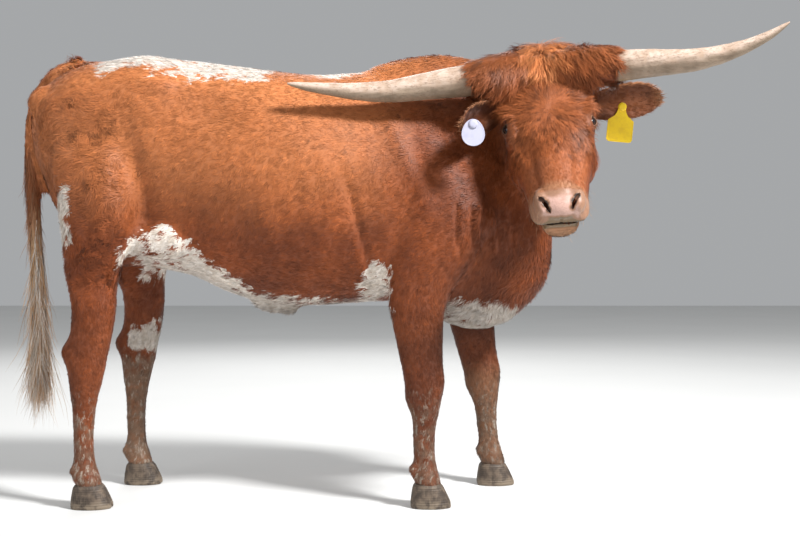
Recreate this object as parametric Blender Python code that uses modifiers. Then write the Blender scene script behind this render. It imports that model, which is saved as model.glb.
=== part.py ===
"""A young longhorn steer at life size, standing, with its head turned to its right.

X runs forward along the body, Y to the animal's left and Z up, in metres. The flesh is lofted from
sections, blended by a voxel remesh, and parted by thin cuts into the parts a person would name.
"""

import math

import bmesh
import bpy
import numpy as np
from mathutils import Matrix, Vector
from mathutils.bvhtree import BVHTree

# Sizes of the whole animal
GAP = 0.0003
HOOF_TOP = 0.058
LEG_SPREAD_FRONT = 0.165
LEG_SPREAD_HIND = 0.175

# Where the feet stand, along X
FRONT_RIGHT_FOOT = 0.070
FRONT_LEFT_FOOT = 0.272
HIND_RIGHT_FOOT = -0.852
HIND_LEFT_FOOT = -0.785

# The head: its poll, and how it is turned, lowered and tilted
POLL = Vector((0.386, -0.166, 1.203))
HEAD_YAW = math.radians(-4.7)
HEAD_PITCH = math.radians(50)
HEAD_ROLL = math.radians(5.3)

# The plane where the head leaves the neck
NECK_CUT = Vector((0.378, -0.090, 1.0))
NECK_AWAY = Vector((0.5, -0.87, 0)).normalized()

# Horns along their reach from the middle: left reach, right reach, forward, up on the left, up on the right, radius
HORN_CENTRE = Vector((0.386, -0.181, 1.181))
HORN = [
    (0.131, 0.142, 0.018, -0.004, -0.003, 0.0438),
    (0.187, 0.201, 0.026, -0.007, -0.006, 0.0432),
    (0.244, 0.260, 0.036, -0.010, -0.008, 0.0402),
    (0.291, 0.309, 0.045, -0.013, -0.011, 0.0372),
    (0.347, 0.368, 0.057, -0.017, -0.016, 0.0331),
    (0.402, 0.427, 0.069, -0.019, -0.018, 0.0292),
    (0.466, 0.496, 0.084, -0.013, -0.013, 0.0241),
    (0.529, 0.565, 0.101, -0.000, -0.002, 0.0182),
    (0.583, 0.624, 0.115, 0.019, 0.009, 0.0128),
    (0.613, 0.658, 0.124, 0.034, 0.017, 0.0078),
    (0.631, 0.678, 0.129, 0.044, 0.022, 0.0034),
]

# Eyes, in the head's own measures: down the face, out to the side, and out from the face
EYE_AT = (0.190, 0.103, -0.053)
EYE_RADIUS = 0.0195
LID_THICKNESS = 0.0045

# Ears: root, tip and the way the cup faces
EAR_LEFT = ((0.483, -0.143, 1.082), (0.713, -0.135, 1.120), (0.15, -0.96, -0.22))
EAR_RIGHT = ((0.288, -0.159, 1.078), (0.162, -0.293, 1.021), (0.70, -0.66, -0.25))
# Ear along its length: share, half width, depth of the cup, thickness
EAR = [
    (0.00, 0.027, 0.022, 0.030),
    (0.12, 0.034, 0.026, 0.026),
    (0.28, 0.045, 0.028, 0.012),
    (0.48, 0.051, 0.026, 0.008),
    (0.68, 0.048, 0.020, 0.007),
    (0.85, 0.037, 0.012, 0.006),
    (0.96, 0.021, 0.006, 0.005),
    (1.00, 0.008, 0.002, 0.004),
]

# Tags: where each pin passes the ear (share of its length, share of its half width) and its own direction
TAG_LEFT_PIN = (0.526, -0.22)
TAG_RIGHT_PIN = (0.80, 0.15)
PIN_RADIUS = 0.003

# The cut faces of the legs
FRONT_LEG_TOP = 0.530
HIND_LEG_TOP = 0.625
KNEE = 0.345
HOCK = 0.405

# The tail: where it hangs free, and where its switch begins and ends
TAIL_JOINT = 0.900
SWITCH_TOP = 0.700
SWITCH_END = 0.290

# Faces that each blended form is thinned to
BODY_TRIANGLES = 3900
HEAD_TRIANGLES = 2700


def clear_scene():
    for obj in list(bpy.data.objects):
        bpy.data.objects.remove(obj, do_unlink=True)


def group(name):
    found = bpy.data.collections.new(name)
    bpy.context.scene.collection.children.link(found)
    return found


def head_frame():
    """The head's own frame: X down the face, Y to its left, Z out from the forehead."""
    forward = Vector((math.sin(HEAD_YAW), -math.cos(HEAD_YAW), 0))
    left = Vector((math.cos(HEAD_YAW), math.sin(HEAD_YAW), 0))
    up = Vector((0, 0, 1))
    down_face = forward * math.cos(HEAD_PITCH) - up * math.sin(HEAD_PITCH)
    out = forward * math.sin(HEAD_PITCH) + up * math.cos(HEAD_PITCH)
    turn = Matrix((down_face, left, out)).transposed()
    roll = Matrix.Rotation(HEAD_ROLL, 3, forward)
    return Matrix.Translation(POLL) @ (roll @ turn).to_4x4()


def horn_frame():
    """The horns' frame: X forward, Y to the left along the crest, Z up."""
    forward = Vector((math.sin(HEAD_YAW), -math.cos(HEAD_YAW), 0))
    left = Vector((math.cos(HEAD_YAW), math.sin(HEAD_YAW), 0))
    turn = Matrix((forward, left, Vector((0, 0, 1)))).transposed()
    roll = Matrix.Rotation(HEAD_ROLL, 3, forward)
    return Matrix.Translation(HORN_CENTRE) @ (roll @ turn).to_4x4()


# Shaping tools


def smooth_rows(rows, count):
    """Rows of numbers read at count even steps along a smooth curve through them."""
    rows = np.array(rows, float)
    last = len(rows) - 1
    ends = np.vstack([2 * rows[0] - rows[1], rows, 2 * rows[-1] - rows[-2]])
    place = np.linspace(0, last, count)
    start = np.minimum(place.astype(int), last - 1)
    f = (place - start)[:, None]
    a, b, c, d = (ends[start + k] for k in range(4))
    return 0.5 * (2 * b + (c - a) * f + (2 * a - 5 * b + 4 * c - d) * f**2 + (3 * b - a - 3 * c + d) * f**3)


def outline(half_width, rise, drop, top_power, bottom_power, corners):
    """Sideways and upward reach of a closed section, rounder or squarer above and below."""
    turn = np.arange(corners) * 2 * math.pi / corners
    c, s = np.cos(turn), np.sin(turn)
    power = np.where(s >= 0, top_power, bottom_power)
    reach = np.where(s >= 0, rise, drop)
    across = half_width * np.sign(c) * np.abs(c) ** (2 / power)
    upward = reach * np.sign(s) * np.abs(s) ** (2 / power)
    return across, upward


def closed_mesh(name, rings):
    """A closed skin over a row of rings with equal numbers of points."""
    count, corners = rings.shape[:2]
    ids = np.arange(count * corners).reshape(count, corners)
    around = np.roll(ids, -1, axis=1)
    sides = np.stack([ids[:-1], around[:-1], around[1:], ids[1:]], axis=-1).reshape(-1, 4)
    faces = [*sides.tolist(), ids[0][::-1].tolist(), ids[-1].tolist()]
    mesh = bpy.data.meshes.new(name)
    mesh.from_pydata(rings.reshape(-1, 3).tolist(), [], faces)
    bm = bmesh.new()
    bm.from_mesh(mesh)
    bmesh.ops.recalc_face_normals(bm, faces=bm.faces)
    bm.to_mesh(mesh)
    bm.free()
    return bpy.data.objects.new(name, mesh)


def upright(tangents):
    """Side and up of a section that stays square to a path."""
    side = np.cross(np.array([0, 0, 1.0]), tangents)
    side /= np.linalg.norm(side, axis=1)[:, None]
    return side, np.cross(tangents, side)


def fixed(side, up):
    """Side and up of sections that all stand the same way."""

    def frame(tangents):
        ones = np.ones((len(tangents), 1))
        return ones * np.array(side, float), ones * np.array(up, float)

    return frame


def hinged(tangents):
    """Side and up of a section square to a path that bends up and down but keeps facing one side."""
    side = np.array([0, 1.0, 0]) - tangents * tangents[:, 1:2]
    side /= np.linalg.norm(side, axis=1)[:, None]
    return side, np.cross(tangents, side)


ACROSS_BODY = fixed((0, 1, 0), (0, 0, 1))
ACROSS_LEG = fixed((0, 1, 0), (1, 0, 0))


def loft(name, rows, count, corners, frame):
    """A form along a path. Each row is x, y, z, half width, rise, drop, top and bottom power."""
    rows = smooth_rows(rows, count)
    path = rows[:, :3]
    tangents = np.gradient(path, axis=0)
    tangents /= np.linalg.norm(tangents, axis=1)[:, None]
    sides, ups = frame(tangents)
    rings = []
    for row, side, up in zip(rows, sides, ups):
        across, upward = outline(*np.maximum(row[3:], 0.001), corners)
        rings.append(row[:3] + across[:, None] * side + upward[:, None] * up)
    return closed_mesh(name, np.array(rings))


def ball(name, centre, radii, turn=None):
    """An ellipsoid of three radii, turned by a rotation matrix."""
    bm = bmesh.new()
    bmesh.ops.create_uvsphere(bm, u_segments=24, v_segments=14, radius=1)
    scale = Matrix.Diagonal((*radii, 1))
    bm.transform(Matrix.Translation(centre) @ (turn or Matrix()).to_4x4() @ scale)
    mesh = bpy.data.meshes.new(name)
    bm.to_mesh(mesh)
    bm.free()
    return bpy.data.objects.new(name, mesh)


def box(name, frame, low, high):
    """A box between two corners of a frame."""
    bm = bmesh.new()
    bmesh.ops.create_cube(bm, size=1)
    low, high = Vector(low), Vector(high)
    scale = Matrix.Diagonal((*(high - low), 1))
    bm.transform(frame @ Matrix.Translation((low + high) / 2) @ scale)
    mesh = bpy.data.meshes.new(name)
    bm.to_mesh(mesh)
    bm.free()
    return bpy.data.objects.new(name, mesh)


def applied(obj):
    """Puts an object's modifiers into its mesh."""
    bpy.context.view_layer.update()
    graph = bpy.context.evaluated_depsgraph_get()
    mesh = bpy.data.meshes.new_from_object(obj.evaluated_get(graph))
    obj.modifiers.clear()
    obj.data = mesh
    return obj


def gathered(name, pieces):
    """Several overlapping forms as one loose mesh, ready to be blended."""
    bm = bmesh.new()
    for piece in pieces:
        bm.from_mesh(piece.data)
    mesh = bpy.data.meshes.new(name)
    bm.to_mesh(mesh)
    bm.free()
    for piece in pieces:
        bpy.data.objects.remove(piece)
    obj = bpy.data.objects.new(name, mesh)
    bpy.context.scene.collection.objects.link(obj)
    return obj


def blended(obj, voxel, rounds, triangles):
    """One smooth skin over overlapping forms, thinned to a number of triangles."""
    remesh = obj.modifiers.new("Blend", "REMESH")
    remesh.mode = "VOXEL"
    remesh.voxel_size = voxel
    smooth = obj.modifiers.new("Soften", "SMOOTH")
    smooth.factor = 0.5
    smooth.iterations = rounds
    applied(obj)
    thin = obj.modifiers.new("Thin", "DECIMATE")
    thin.ratio = triangles / (2 * len(obj.data.polygons))
    thin.use_collapse_triangulate = True
    return applied(obj)


def grown(obj, by):
    """A copy a little larger all over, used as a cutter that leaves a gap."""
    copy = bpy.data.objects.new(obj.name + "_grown", obj.data.copy())
    bm = bmesh.new()
    bm.from_mesh(copy.data)
    bm.normal_update()
    for vert in bm.verts:
        vert.co += vert.normal * by
    bm.to_mesh(copy.data)
    bm.free()
    return copy


def boolean(obj, others, operation, solver="EXACT"):
    """Joins other closed meshes to an object, or cuts them from it, and removes them."""
    used = group("used_once")
    for other in others:
        used.objects.link(other)
        other.hide_render = True
        other.display_type = "WIRE"
    change = obj.modifiers.new("Change", "BOOLEAN")
    change.operation = operation
    change.solver = solver
    change.operand_type = "COLLECTION"
    change.collection = used
    applied(obj)
    for other in others:
        bpy.data.objects.remove(other)
    bpy.data.collections.remove(used)
    return obj


def shells_of(obj):
    """The separate closed surfaces of a mesh, largest first, each as a new mesh."""
    bm = bmesh.new()
    bm.from_mesh(obj.data)
    bmesh.ops.triangulate(bm, faces=bm.faces)
    left = set(bm.faces)
    shells = []
    while left:
        shell = [left.pop()]
        for face in shell:
            near = {other for edge in face.edges for other in edge.link_faces} & left
            left -= near
            shell.extend(near)
        shells.append(shell)
    meshes = []
    for shell in shells:
        corners = {vert: i for i, vert in enumerate(dict.fromkeys(v for f in shell for v in f.verts))}
        mesh = bpy.data.meshes.new(obj.name)
        mesh.from_pydata([v.co[:] for v in corners], [], [[corners[v] for v in f.verts] for f in shell])
        meshes.append(mesh)
    bm.free()
    return sorted(meshes, key=volume, reverse=True)


def volume(mesh):
    bm = bmesh.new()
    bm.from_mesh(mesh)
    found = bm.calc_volume()
    bm.free()
    return found


def largest_shell(obj):
    obj.data = shells_of(obj)[0]
    return obj


# The flesh of the body


def torso_forms():
    """The barrel, the rump's hook and pin bones, the brisket and the fold of the sheath."""
    barrel = [
        (-1.035, 0, 1.06, 0.080, 0.060, 0.100, 2.0, 2.0),
        (-0.985, 0, 1.05, 0.145, 0.130, 0.220, 2.1, 2.0),
        (-0.910, 0, 1.05, 0.185, 0.172, 0.330, 2.3, 2.0),
        (-0.820, 0, 1.04, 0.205, 0.198, 0.385, 2.4, 2.0),
        (-0.710, 0, 1.03, 0.215, 0.222, 0.385, 2.5, 2.0),
        (-0.600, 0, 0.97, 0.220, 0.270, 0.345, 2.4, 2.0),
        (-0.480, 0, 0.93, 0.240, 0.298, 0.358, 2.2, 2.05),
        (-0.350, 0, 0.90, 0.256, 0.312, 0.360, 2.1, 2.1),
        (-0.220, 0, 0.88, 0.256, 0.322, 0.340, 2.0, 2.1),
        (-0.100, 0, 0.87, 0.240, 0.340, 0.322, 1.9, 2.1),
        (0.020, 0, 0.87, 0.220, 0.345, 0.320, 1.8, 2.0),
        (0.130, 0, 0.86, 0.200, 0.330, 0.335, 1.8, 1.9),
        (0.230, 0, 0.83, 0.178, 0.290, 0.325, 1.9, 1.8),
        (0.320, 0, 0.79, 0.145, 0.230, 0.280, 2.0, 1.8),
        (0.400, 0, 0.77, 0.095, 0.150, 0.190, 2.0, 1.9),
        (0.435, 0, 0.76, 0.045, 0.080, 0.100, 2.0, 2.0),
    ]
    brisket = [
        (0.060, 0, 0.590, 0.050, 0.050, 0.045, 2.0, 2.0),
        (0.130, 0, 0.585, 0.068, 0.080, 0.095, 2.0, 2.0),
        (0.220, 0, 0.590, 0.075, 0.100, 0.120, 2.0, 2.0),
        (0.310, 0, 0.620, 0.066, 0.120, 0.125, 2.0, 2.0),
        (0.380, 0, 0.680, 0.050, 0.120, 0.115, 2.0, 2.0),
        (0.425, 0, 0.740, 0.032, 0.090, 0.080, 2.0, 2.0),
    ]
    forms = [
        loft("barrel", barrel, 90, 48, ACROSS_BODY),
        loft("brisket", brisket, 40, 32, ACROSS_BODY),
        ball("sheath", (-0.345, 0, 0.553), (0.075, 0.028, 0.038)),
        ball("navel", (-0.315, 0, 0.532), (0.030, 0.020, 0.022)),
    ]
    for side in (-1, 1):
        forms.append(ball("hook_bone", (-0.675, side * 0.140, 1.128), (0.120, 0.066, 0.066)))
        forms.append(ball("pin_bone", (-0.985, side * 0.085, 1.110), (0.055, 0.045, 0.055)))
        forms.append(ball("flank_fold", (-0.650, side * 0.135, 0.735), (0.110, 0.048, 0.070)))
    return forms


def front_leg(foot, side, shoulder_forward):
    """One front leg from the withers to the coronet. Each row is height, x, fore and aft reach, width, y."""
    lean = shoulder_forward
    rows = [
        (1.120, -0.055, 0.085, 0.090, 0.040, 0.090),
        (1.020, -0.020, 0.110, 0.120, 0.058, 0.128),
        (0.900, 0.020, 0.135, 0.140, 0.066, 0.152),
        (0.790, 0.050, 0.145, 0.140, 0.068, 0.165),
        (0.690, 0.030, 0.120, 0.120, 0.068, 0.165),
        (0.610, -0.005, 0.100, 0.098, 0.064, 0.162),
        (0.545, -0.022, 0.082, 0.084, 0.058, 0.160),
        (0.475, -0.018, 0.070, 0.072, 0.052, 0.160),
        (0.400, -0.012, 0.062, 0.062, 0.046, 0.162),
        (0.340, -0.006, 0.062, 0.056, 0.049, 0.164),
        (0.290, -0.006, 0.054, 0.054, 0.045, 0.165),
        (0.240, -0.002, 0.040, 0.040, 0.035, 0.165),
        (0.186, -0.004, 0.034, 0.035, 0.031, 0.165),
        (0.125, -0.002, 0.034, 0.036, 0.032, 0.165),
        (0.092, 0.000, 0.039, 0.042, 0.040, 0.165),
        (0.066, 0.006, 0.040, 0.040, 0.042, 0.165),
        (0.040, 0.012, 0.042, 0.040, 0.043, 0.165),
    ]
    spread = LEG_SPREAD_FRONT - 0.165
    full = [
        (foot + x - lean * max(0.0, z - 0.1), side * (y + spread), z, width, fore, aft, 2.1, 2.1)
        for z, x, fore, aft, width, y in rows
    ]
    return loft("front_leg", full, 100, 28, ACROSS_LEG)


def hind_leg(foot, side):
    """One hind leg from the hip to the coronet. Each row is height, x, fore and aft reach, width, y."""
    rows = [
        (1.110, 0.055, 0.110, 0.120, 0.050, 0.105),
        (1.010, 0.040, 0.150, 0.150, 0.075, 0.128),
        (0.905, 0.040, 0.142, 0.140, 0.085, 0.142),
        (0.800, 0.036, 0.122, 0.118, 0.084, 0.150),
        (0.710, 0.024, 0.096, 0.094, 0.075, 0.158),
        (0.630, 0.012, 0.078, 0.074, 0.064, 0.163),
        (0.540, 0.016, 0.068, 0.062, 0.056, 0.168),
        (0.470, 0.010, 0.064, 0.060, 0.048, 0.172),
        (0.425, -0.002, 0.066, 0.072, 0.045, 0.174),
        (0.376, -0.004, 0.058, 0.052, 0.044, 0.175),
        (0.310, -0.006, 0.044, 0.042, 0.037, 0.175),
        (0.257, -0.007, 0.035, 0.035, 0.033, 0.175),
        (0.185, -0.008, 0.031, 0.031, 0.031, 0.175),
        (0.130, -0.006, 0.032, 0.033, 0.033, 0.175),
        (0.095, -0.003, 0.038, 0.039, 0.041, 0.175),
        (0.066, 0.004, 0.040, 0.040, 0.043, 0.175),
        (0.040, 0.012, 0.042, 0.040, 0.044, 0.175),
    ]
    spread = LEG_SPREAD_HIND - 0.175
    full = [
        (foot + x, side * (y + spread), z, width, fore, aft, 2.1, 2.1)
        for z, x, fore, aft, width, y in rows
    ]
    return loft("hind_leg", full, 100, 28, ACROSS_LEG)


NECK = [
    (-0.100, 0.000, 0.930, 0.150, 0.262, 0.220, 1.8, 1.9),
    (0.000, 0.000, 0.945, 0.158, 0.297, 0.250, 1.8, 1.9),
    (0.100, 0.000, 0.955, 0.150, 0.306, 0.270, 1.7, 1.8),
    (0.210, 0.010, 0.975, 0.128, 0.294, 0.275, 1.7, 1.7),
    (0.310, 0.000, 1.000, 0.114, 0.250, 0.265, 1.8, 1.7),
    (0.375, -0.055, 1.018, 0.107, 0.195, 0.220, 1.9, 1.8),
    (0.398, -0.122, 1.035, 0.104, 0.150, 0.170, 2.0, 2.0),
    (0.402, -0.178, 1.040, 0.095, 0.120, 0.130, 2.0, 2.0),
]

TAIL = [
    (-0.860, 0.000, 1.200, 0.028, 0.028, 0.028, 2.0, 2.0),
    (-0.935, 0.000, 1.206, 0.036, 0.038, 0.038, 2.0, 2.0),
    (-0.996, 0.000, 1.170, 0.036, 0.036, 0.036, 2.0, 2.0),
    (-1.036, -0.002, 1.095, 0.031, 0.030, 0.030, 2.0, 2.0),
    (-1.046, -0.005, 0.990, 0.028, 0.028, 0.028, 2.0, 2.0),
    (-1.043, -0.010, 0.870, 0.023, 0.023, 0.023, 2.0, 2.0),
    (-1.035, -0.014, 0.760, 0.019, 0.019, 0.019, 2.0, 2.0),
    (-1.029, -0.016, 0.680, 0.017, 0.017, 0.017, 2.0, 2.0),
]


def neck_form(first=0):
    return loft("neck", NECK[first:], 60, 40, upright)


def tail_form():
    return loft("tail", TAIL, 24, 12, hinged)


def level_slab(height, low, high):
    """A cutter as thin as the gap, level, between two corners seen from above."""
    return box("slab", Matrix(), (*low, height - GAP / 2), (*high, height + GAP / 2))


def leg_cuts():
    cuts = []
    for side, front, hind in ((-1, FRONT_RIGHT_FOOT, HIND_RIGHT_FOOT), (1, FRONT_LEFT_FOOT, HIND_LEFT_FOOT)):
        inner, outer = sorted((side * 0.085, side * 0.330))
        for height in (FRONT_LEG_TOP, KNEE):
            cuts.append(level_slab(height, (front - 0.17, inner), (front + 0.17, outer)))
        inner, outer = sorted((side * 0.045, side * 0.330))
        for height in (HIND_LEG_TOP, HOCK):
            cuts.append(level_slab(height, (hind - 0.16, inner), (hind + 0.105, outer)))
    cuts.append(box("below", Matrix(), (-1.5, -0.6, -0.3), (1.0, 0.6, HOOF_TOP)))
    return cuts


def neck_cut_frame():
    across = Vector((0, 0, 1)).cross(NECK_AWAY)
    turn = Matrix((NECK_AWAY, across, Vector((0, 0, 1)))).transposed().to_4x4()
    return Matrix.Translation(NECK_CUT) @ turn


def neck_root_frame():
    normal = Vector((0.55, 0, 0.35)).normalized()
    turn = Matrix((normal, Vector((0, 1, 0)), normal.cross(Vector((0, 1, 0))))).transposed().to_4x4()
    return Matrix.Translation((0.275, 0, 0.985)) @ turn


BODY_PARTS = {
    "torso": (-0.30, 0.00, 0.90),
    "neck": (0.30, 0.00, 1.02),
    "leg_front_right_upper": (FRONT_RIGHT_FOOT, -LEG_SPREAD_FRONT, 0.43),
    "leg_front_right_lower": (FRONT_RIGHT_FOOT, -LEG_SPREAD_FRONT, 0.20),
    "leg_front_left_upper": (FRONT_LEFT_FOOT, LEG_SPREAD_FRONT, 0.43),
    "leg_front_left_lower": (FRONT_LEFT_FOOT, LEG_SPREAD_FRONT, 0.20),
    "leg_hind_right_upper": (HIND_RIGHT_FOOT, -LEG_SPREAD_HIND, 0.51),
    "leg_hind_right_lower": (HIND_RIGHT_FOOT, -LEG_SPREAD_HIND, 0.23),
    "leg_hind_left_upper": (HIND_LEFT_FOOT, LEG_SPREAD_HIND, 0.51),
    "leg_hind_left_lower": (HIND_LEFT_FOOT, LEG_SPREAD_HIND, 0.23),
}


def body_skin(tail):
    """Torso, neck and legs blended into one skin, then parted by thin cuts."""
    forms = torso_forms()
    forms.append(neck_form())
    forms.append(ball("tail_head", (-0.935, 0, 1.185), (0.085, 0.060, 0.048)))
    for side, foot, forward in ((-1, FRONT_RIGHT_FOOT, 0.0), (1, FRONT_LEFT_FOOT, 0.10)):
        forms.append(front_leg(foot, side, forward))
    for side, foot in ((-1, HIND_RIGHT_FOOT), (1, HIND_LEFT_FOOT)):
        forms.append(hind_leg(foot, side))
    for side in (-1, 1):
        for foot, spread in (((FRONT_RIGHT_FOOT, FRONT_LEFT_FOOT)[side > 0], LEG_SPREAD_FRONT),
                             ((HIND_RIGHT_FOOT, HIND_LEFT_FOOT)[side > 0], LEG_SPREAD_HIND)):
            for off in (-0.020, 0.020):
                forms.append(ball("dewclaw", (foot - 0.036, side * spread + off, 0.100), (0.015, 0.013, 0.018)))
    body = blended(gathered("body", forms), 0.0075, 8, BODY_TRIANGLES)
    front = box("front", neck_cut_frame(), (-GAP / 2, -0.17, -0.30), (0.60, 0.24, 0.50))
    root = box("root", neck_root_frame(), (-GAP / 2, -0.50, -0.60), (GAP / 2, 0.50, 0.60))
    boolean(body, [front, grown(tail, GAP)], "DIFFERENCE")
    boolean(body, [root] + leg_cuts(), "DIFFERENCE")
    pieces = shells_of(body)
    bpy.data.objects.remove(body)
    parts = {}
    for mesh in pieces[: len(BODY_PARTS)]:
        corners = np.array([v.co[:] for v in mesh.vertices])
        middle = (corners.min(axis=0) + corners.max(axis=0)) / 2
        name = min(BODY_PARTS, key=lambda n: np.linalg.norm(middle - np.array(BODY_PARTS[n])))
        parts[name] = bpy.data.objects.new(name, mesh)
    return parts


# The head


def in_frame(obj, frame):
    obj.data.transform(frame)
    return obj


def horn_rows(side):
    """Rows along one horn's middle line, in the horns' frame."""
    return [
        (forward, reach_left if side > 0 else -reach_right, up_left if side > 0 else up_right, *[radius] * 3, 2.0, 2.0)
        for reach_left, reach_right, forward, up_left, up_right, radius in HORN
    ]


def horn_form(side):
    horn = loft("horn", horn_rows(side), 20, 12, fixed((1, 0, 0), (0, 0, 1)))
    return in_frame(horn, horn_frame())


def horn_boss(side):
    """The hairy skin over the root of a horn."""
    rows = [
        (-0.024, side * 0.020, -0.004, 0.058, 0.066, 0.070, 2.0, 2.0),
        (-0.008, side * 0.080, -0.005, 0.064, 0.068, 0.068, 2.0, 2.0),
        (0.012, side * 0.130, -0.002, 0.060, 0.060, 0.060, 2.0, 2.0),
        (0.021, side * 0.168, -0.002, 0.053, 0.053, 0.053, 2.0, 2.0),
        (0.026, side * 0.190, -0.003, 0.049, 0.049, 0.049, 2.0, 2.0),
    ]
    return in_frame(loft("boss", rows, 16, 24, fixed((1, 0, 0), (0, 0, 1))), horn_frame())


def head_forms():
    """Skull, jaw, cheeks, brows, muzzle and chin, in the head's own frame."""
    skull = [
        (-0.050, 0, -0.070, 0.066, 0.050, 0.050, 2.4, 2.0),
        (-0.015, 0, -0.075, 0.106, 0.077, 0.070, 2.6, 2.0),
        (0.040, 0, -0.082, 0.120, 0.086, 0.090, 2.8, 2.0),
        (0.100, 0, -0.090, 0.121, 0.092, 0.106, 3.0, 1.9),
        (0.160, 0, -0.098, 0.122, 0.096, 0.112, 2.7, 1.9),
        (0.210, 0, -0.106, 0.119, 0.098, 0.106, 2.3, 1.9),
        (0.260, 0, -0.110, 0.112, 0.094, 0.094, 2.0, 1.9),
        (0.310, 0, -0.108, 0.101, 0.084, 0.078, 1.8, 1.9),
        (0.360, 0, -0.102, 0.089, 0.072, 0.060, 1.8, 2.0),
        (0.410, 0, -0.096, 0.080, 0.062, 0.048, 1.9, 2.0),
        (0.455, 0, -0.092, 0.076, 0.052, 0.040, 2.0, 2.0),
        (0.490, 0, -0.086, 0.050, 0.034, 0.030, 2.0, 2.0),
    ]
    nose = [
        (0.080, 0, -0.050, 0.080, 0.042, 0.040, 2.6, 2.0),
        (0.160, 0, -0.050, 0.070, 0.044, 0.040, 2.6, 2.0),
        (0.240, 0, -0.050, 0.056, 0.042, 0.040, 2.6, 2.0),
        (0.320, 0, -0.052, 0.049, 0.038, 0.040, 2.5, 2.0),
        (0.390, 0, -0.054, 0.046, 0.033, 0.036, 2.4, 2.0),
        (0.445, 0, -0.058, 0.047, 0.030, 0.034, 2.2, 2.0),
        (0.480, 0, -0.066, 0.034, 0.022, 0.028, 2.0, 2.0),
    ]
    jaw = [
        (0.090, 0, -0.155, 0.062, 0.050, 0.048, 2.0, 2.0),
        (0.160, 0, -0.160, 0.070, 0.050, 0.054, 2.0, 1.9),
        (0.240, 0, -0.158, 0.062, 0.050, 0.054, 2.0, 1.8),
        (0.320, 0, -0.150, 0.052, 0.045, 0.044, 2.0, 1.9),
        (0.390, 0, -0.146, 0.047, 0.035, 0.036, 2.0, 2.0),
        (0.445, 0, -0.144, 0.050, 0.030, 0.036, 2.1, 2.0),
        (0.480, 0, -0.140, 0.036, 0.018, 0.026, 2.0, 2.0),
    ]
    along = fixed((0, 1, 0), (0, 0, 1))
    forms = [
        loft("skull", skull, 60, 40, along),
        loft("nose", nose, 50, 32, along),
        loft("jaw", jaw, 40, 28, along),
        ball("pad", (0.455, 0, -0.070), (0.043, 0.066, 0.040)),
        ball("poll_pad", (-0.032, 0, -0.024), (0.054, 0.125, 0.054)),
    ]
    for side in (-1, 1):
        forms.append(ball("cheek", (0.215, side * 0.080, -0.132), (0.115, 0.042, 0.062)))
        forms.append(ball("temple", (0.045, side * 0.092, -0.050), (0.070, 0.046, 0.050)))
        forms.append(ball("brow", (0.156, side * 0.088, -0.044), (0.056, 0.032, 0.032)))
        forms.append(ball("orbit", (0.193, side * 0.092, -0.060), (0.044, 0.027, 0.034)))
        forms.append(ball("nostril_wing", (0.448, side * 0.047, -0.060), (0.046, 0.026, 0.030)))
        forms.append(ball("lip", (0.438, side * 0.050, -0.094), (0.055, 0.030, 0.024)))
        forms.append(ball("ear_base", (0.080, side * 0.102, -0.092), (0.040, 0.026, 0.038)))
    return forms


def eye_frame(side):
    """An eye's frame: X along its opening, Y across it, Z the way it looks."""
    look = Vector((0.06, side * 0.80, 0.60)).normalized()
    along = Vector((1.0, 0, 0.25))
    along = (along - along.dot(look) * look).normalized()
    place = Vector((EYE_AT[0], side * EYE_AT[1], EYE_AT[2]))
    turn = Matrix((along, look.cross(along), look)).transposed().to_4x4()
    return head_frame() @ Matrix.Translation(place) @ turn


def eyeball(name, side, extra):
    bm = bmesh.new()
    bmesh.ops.create_uvsphere(bm, u_segments=16, v_segments=8, radius=EYE_RADIUS + extra)
    bm.transform(eye_frame(side))
    mesh = bpy.data.meshes.new(name)
    bm.to_mesh(mesh)
    bm.free()
    return bpy.data.objects.new(name, mesh)


def lid_opening(side):
    """An almond prism, the space between the lids."""
    rings = []
    turn = np.arange(24) * 2 * math.pi / 24
    for height, size in ((0.006, 0.92), (0.040, 1.10)):
        x = 0.0165 * size * np.sign(np.cos(turn)) * np.abs(np.cos(turn)) ** 0.9
        y = 0.0115 * size * np.sin(turn) * np.abs(np.sin(turn)) ** 0.25
        rings.append(np.stack([x, y, np.full(24, height)], axis=1))
    return in_frame(closed_mesh("opening", np.array(rings)), eye_frame(side))


def nostril(side):
    """A comma-shaped hollow, open to the front and side."""
    rows = [
        (0.489, side * 0.026, -0.060, 0.0060, 0.0050, 0.0050, 2, 2),
        (0.482, side * 0.034, -0.052, 0.0100, 0.0080, 0.0080, 2, 2),
        (0.470, side * 0.047, -0.049, 0.0110, 0.0085, 0.0085, 2, 2),
        (0.462, side * 0.060, -0.056, 0.0090, 0.0065, 0.0065, 2, 2),
        (0.458, side * 0.068, -0.066, 0.0060, 0.0045, 0.0045, 2, 2),
    ]
    return in_frame(loft("nostril", rows, 16, 14, fixed((1, 0, 0), (0, 0, 1))), head_frame())


def mouth_line():
    """The thin space between the lips, round the muzzle."""
    rows = [
        (0.345, -0.074, -0.122, 0.014, 0.0012, 0.0012, 2, 2),
        (0.400, -0.070, -0.118, 0.014, 0.0014, 0.0014, 2, 2),
        (0.450, -0.062, -0.115, 0.015, 0.0018, 0.0018, 2, 2),
        (0.482, -0.034, -0.113, 0.015, 0.0024, 0.0024, 2, 2),
        (0.490, 0.000, -0.112, 0.015, 0.0026, 0.0026, 2, 2),
        (0.482, 0.034, -0.113, 0.015, 0.0024, 0.0024, 2, 2),
        (0.450, 0.062, -0.115, 0.015, 0.0018, 0.0018, 2, 2),
        (0.400, 0.070, -0.118, 0.014, 0.0014, 0.0014, 2, 2),
        (0.345, 0.074, -0.122, 0.014, 0.0012, 0.0012, 2, 2),
    ]
    return in_frame(loft("mouth_line", rows, 40, 8, upright), head_frame())


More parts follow.
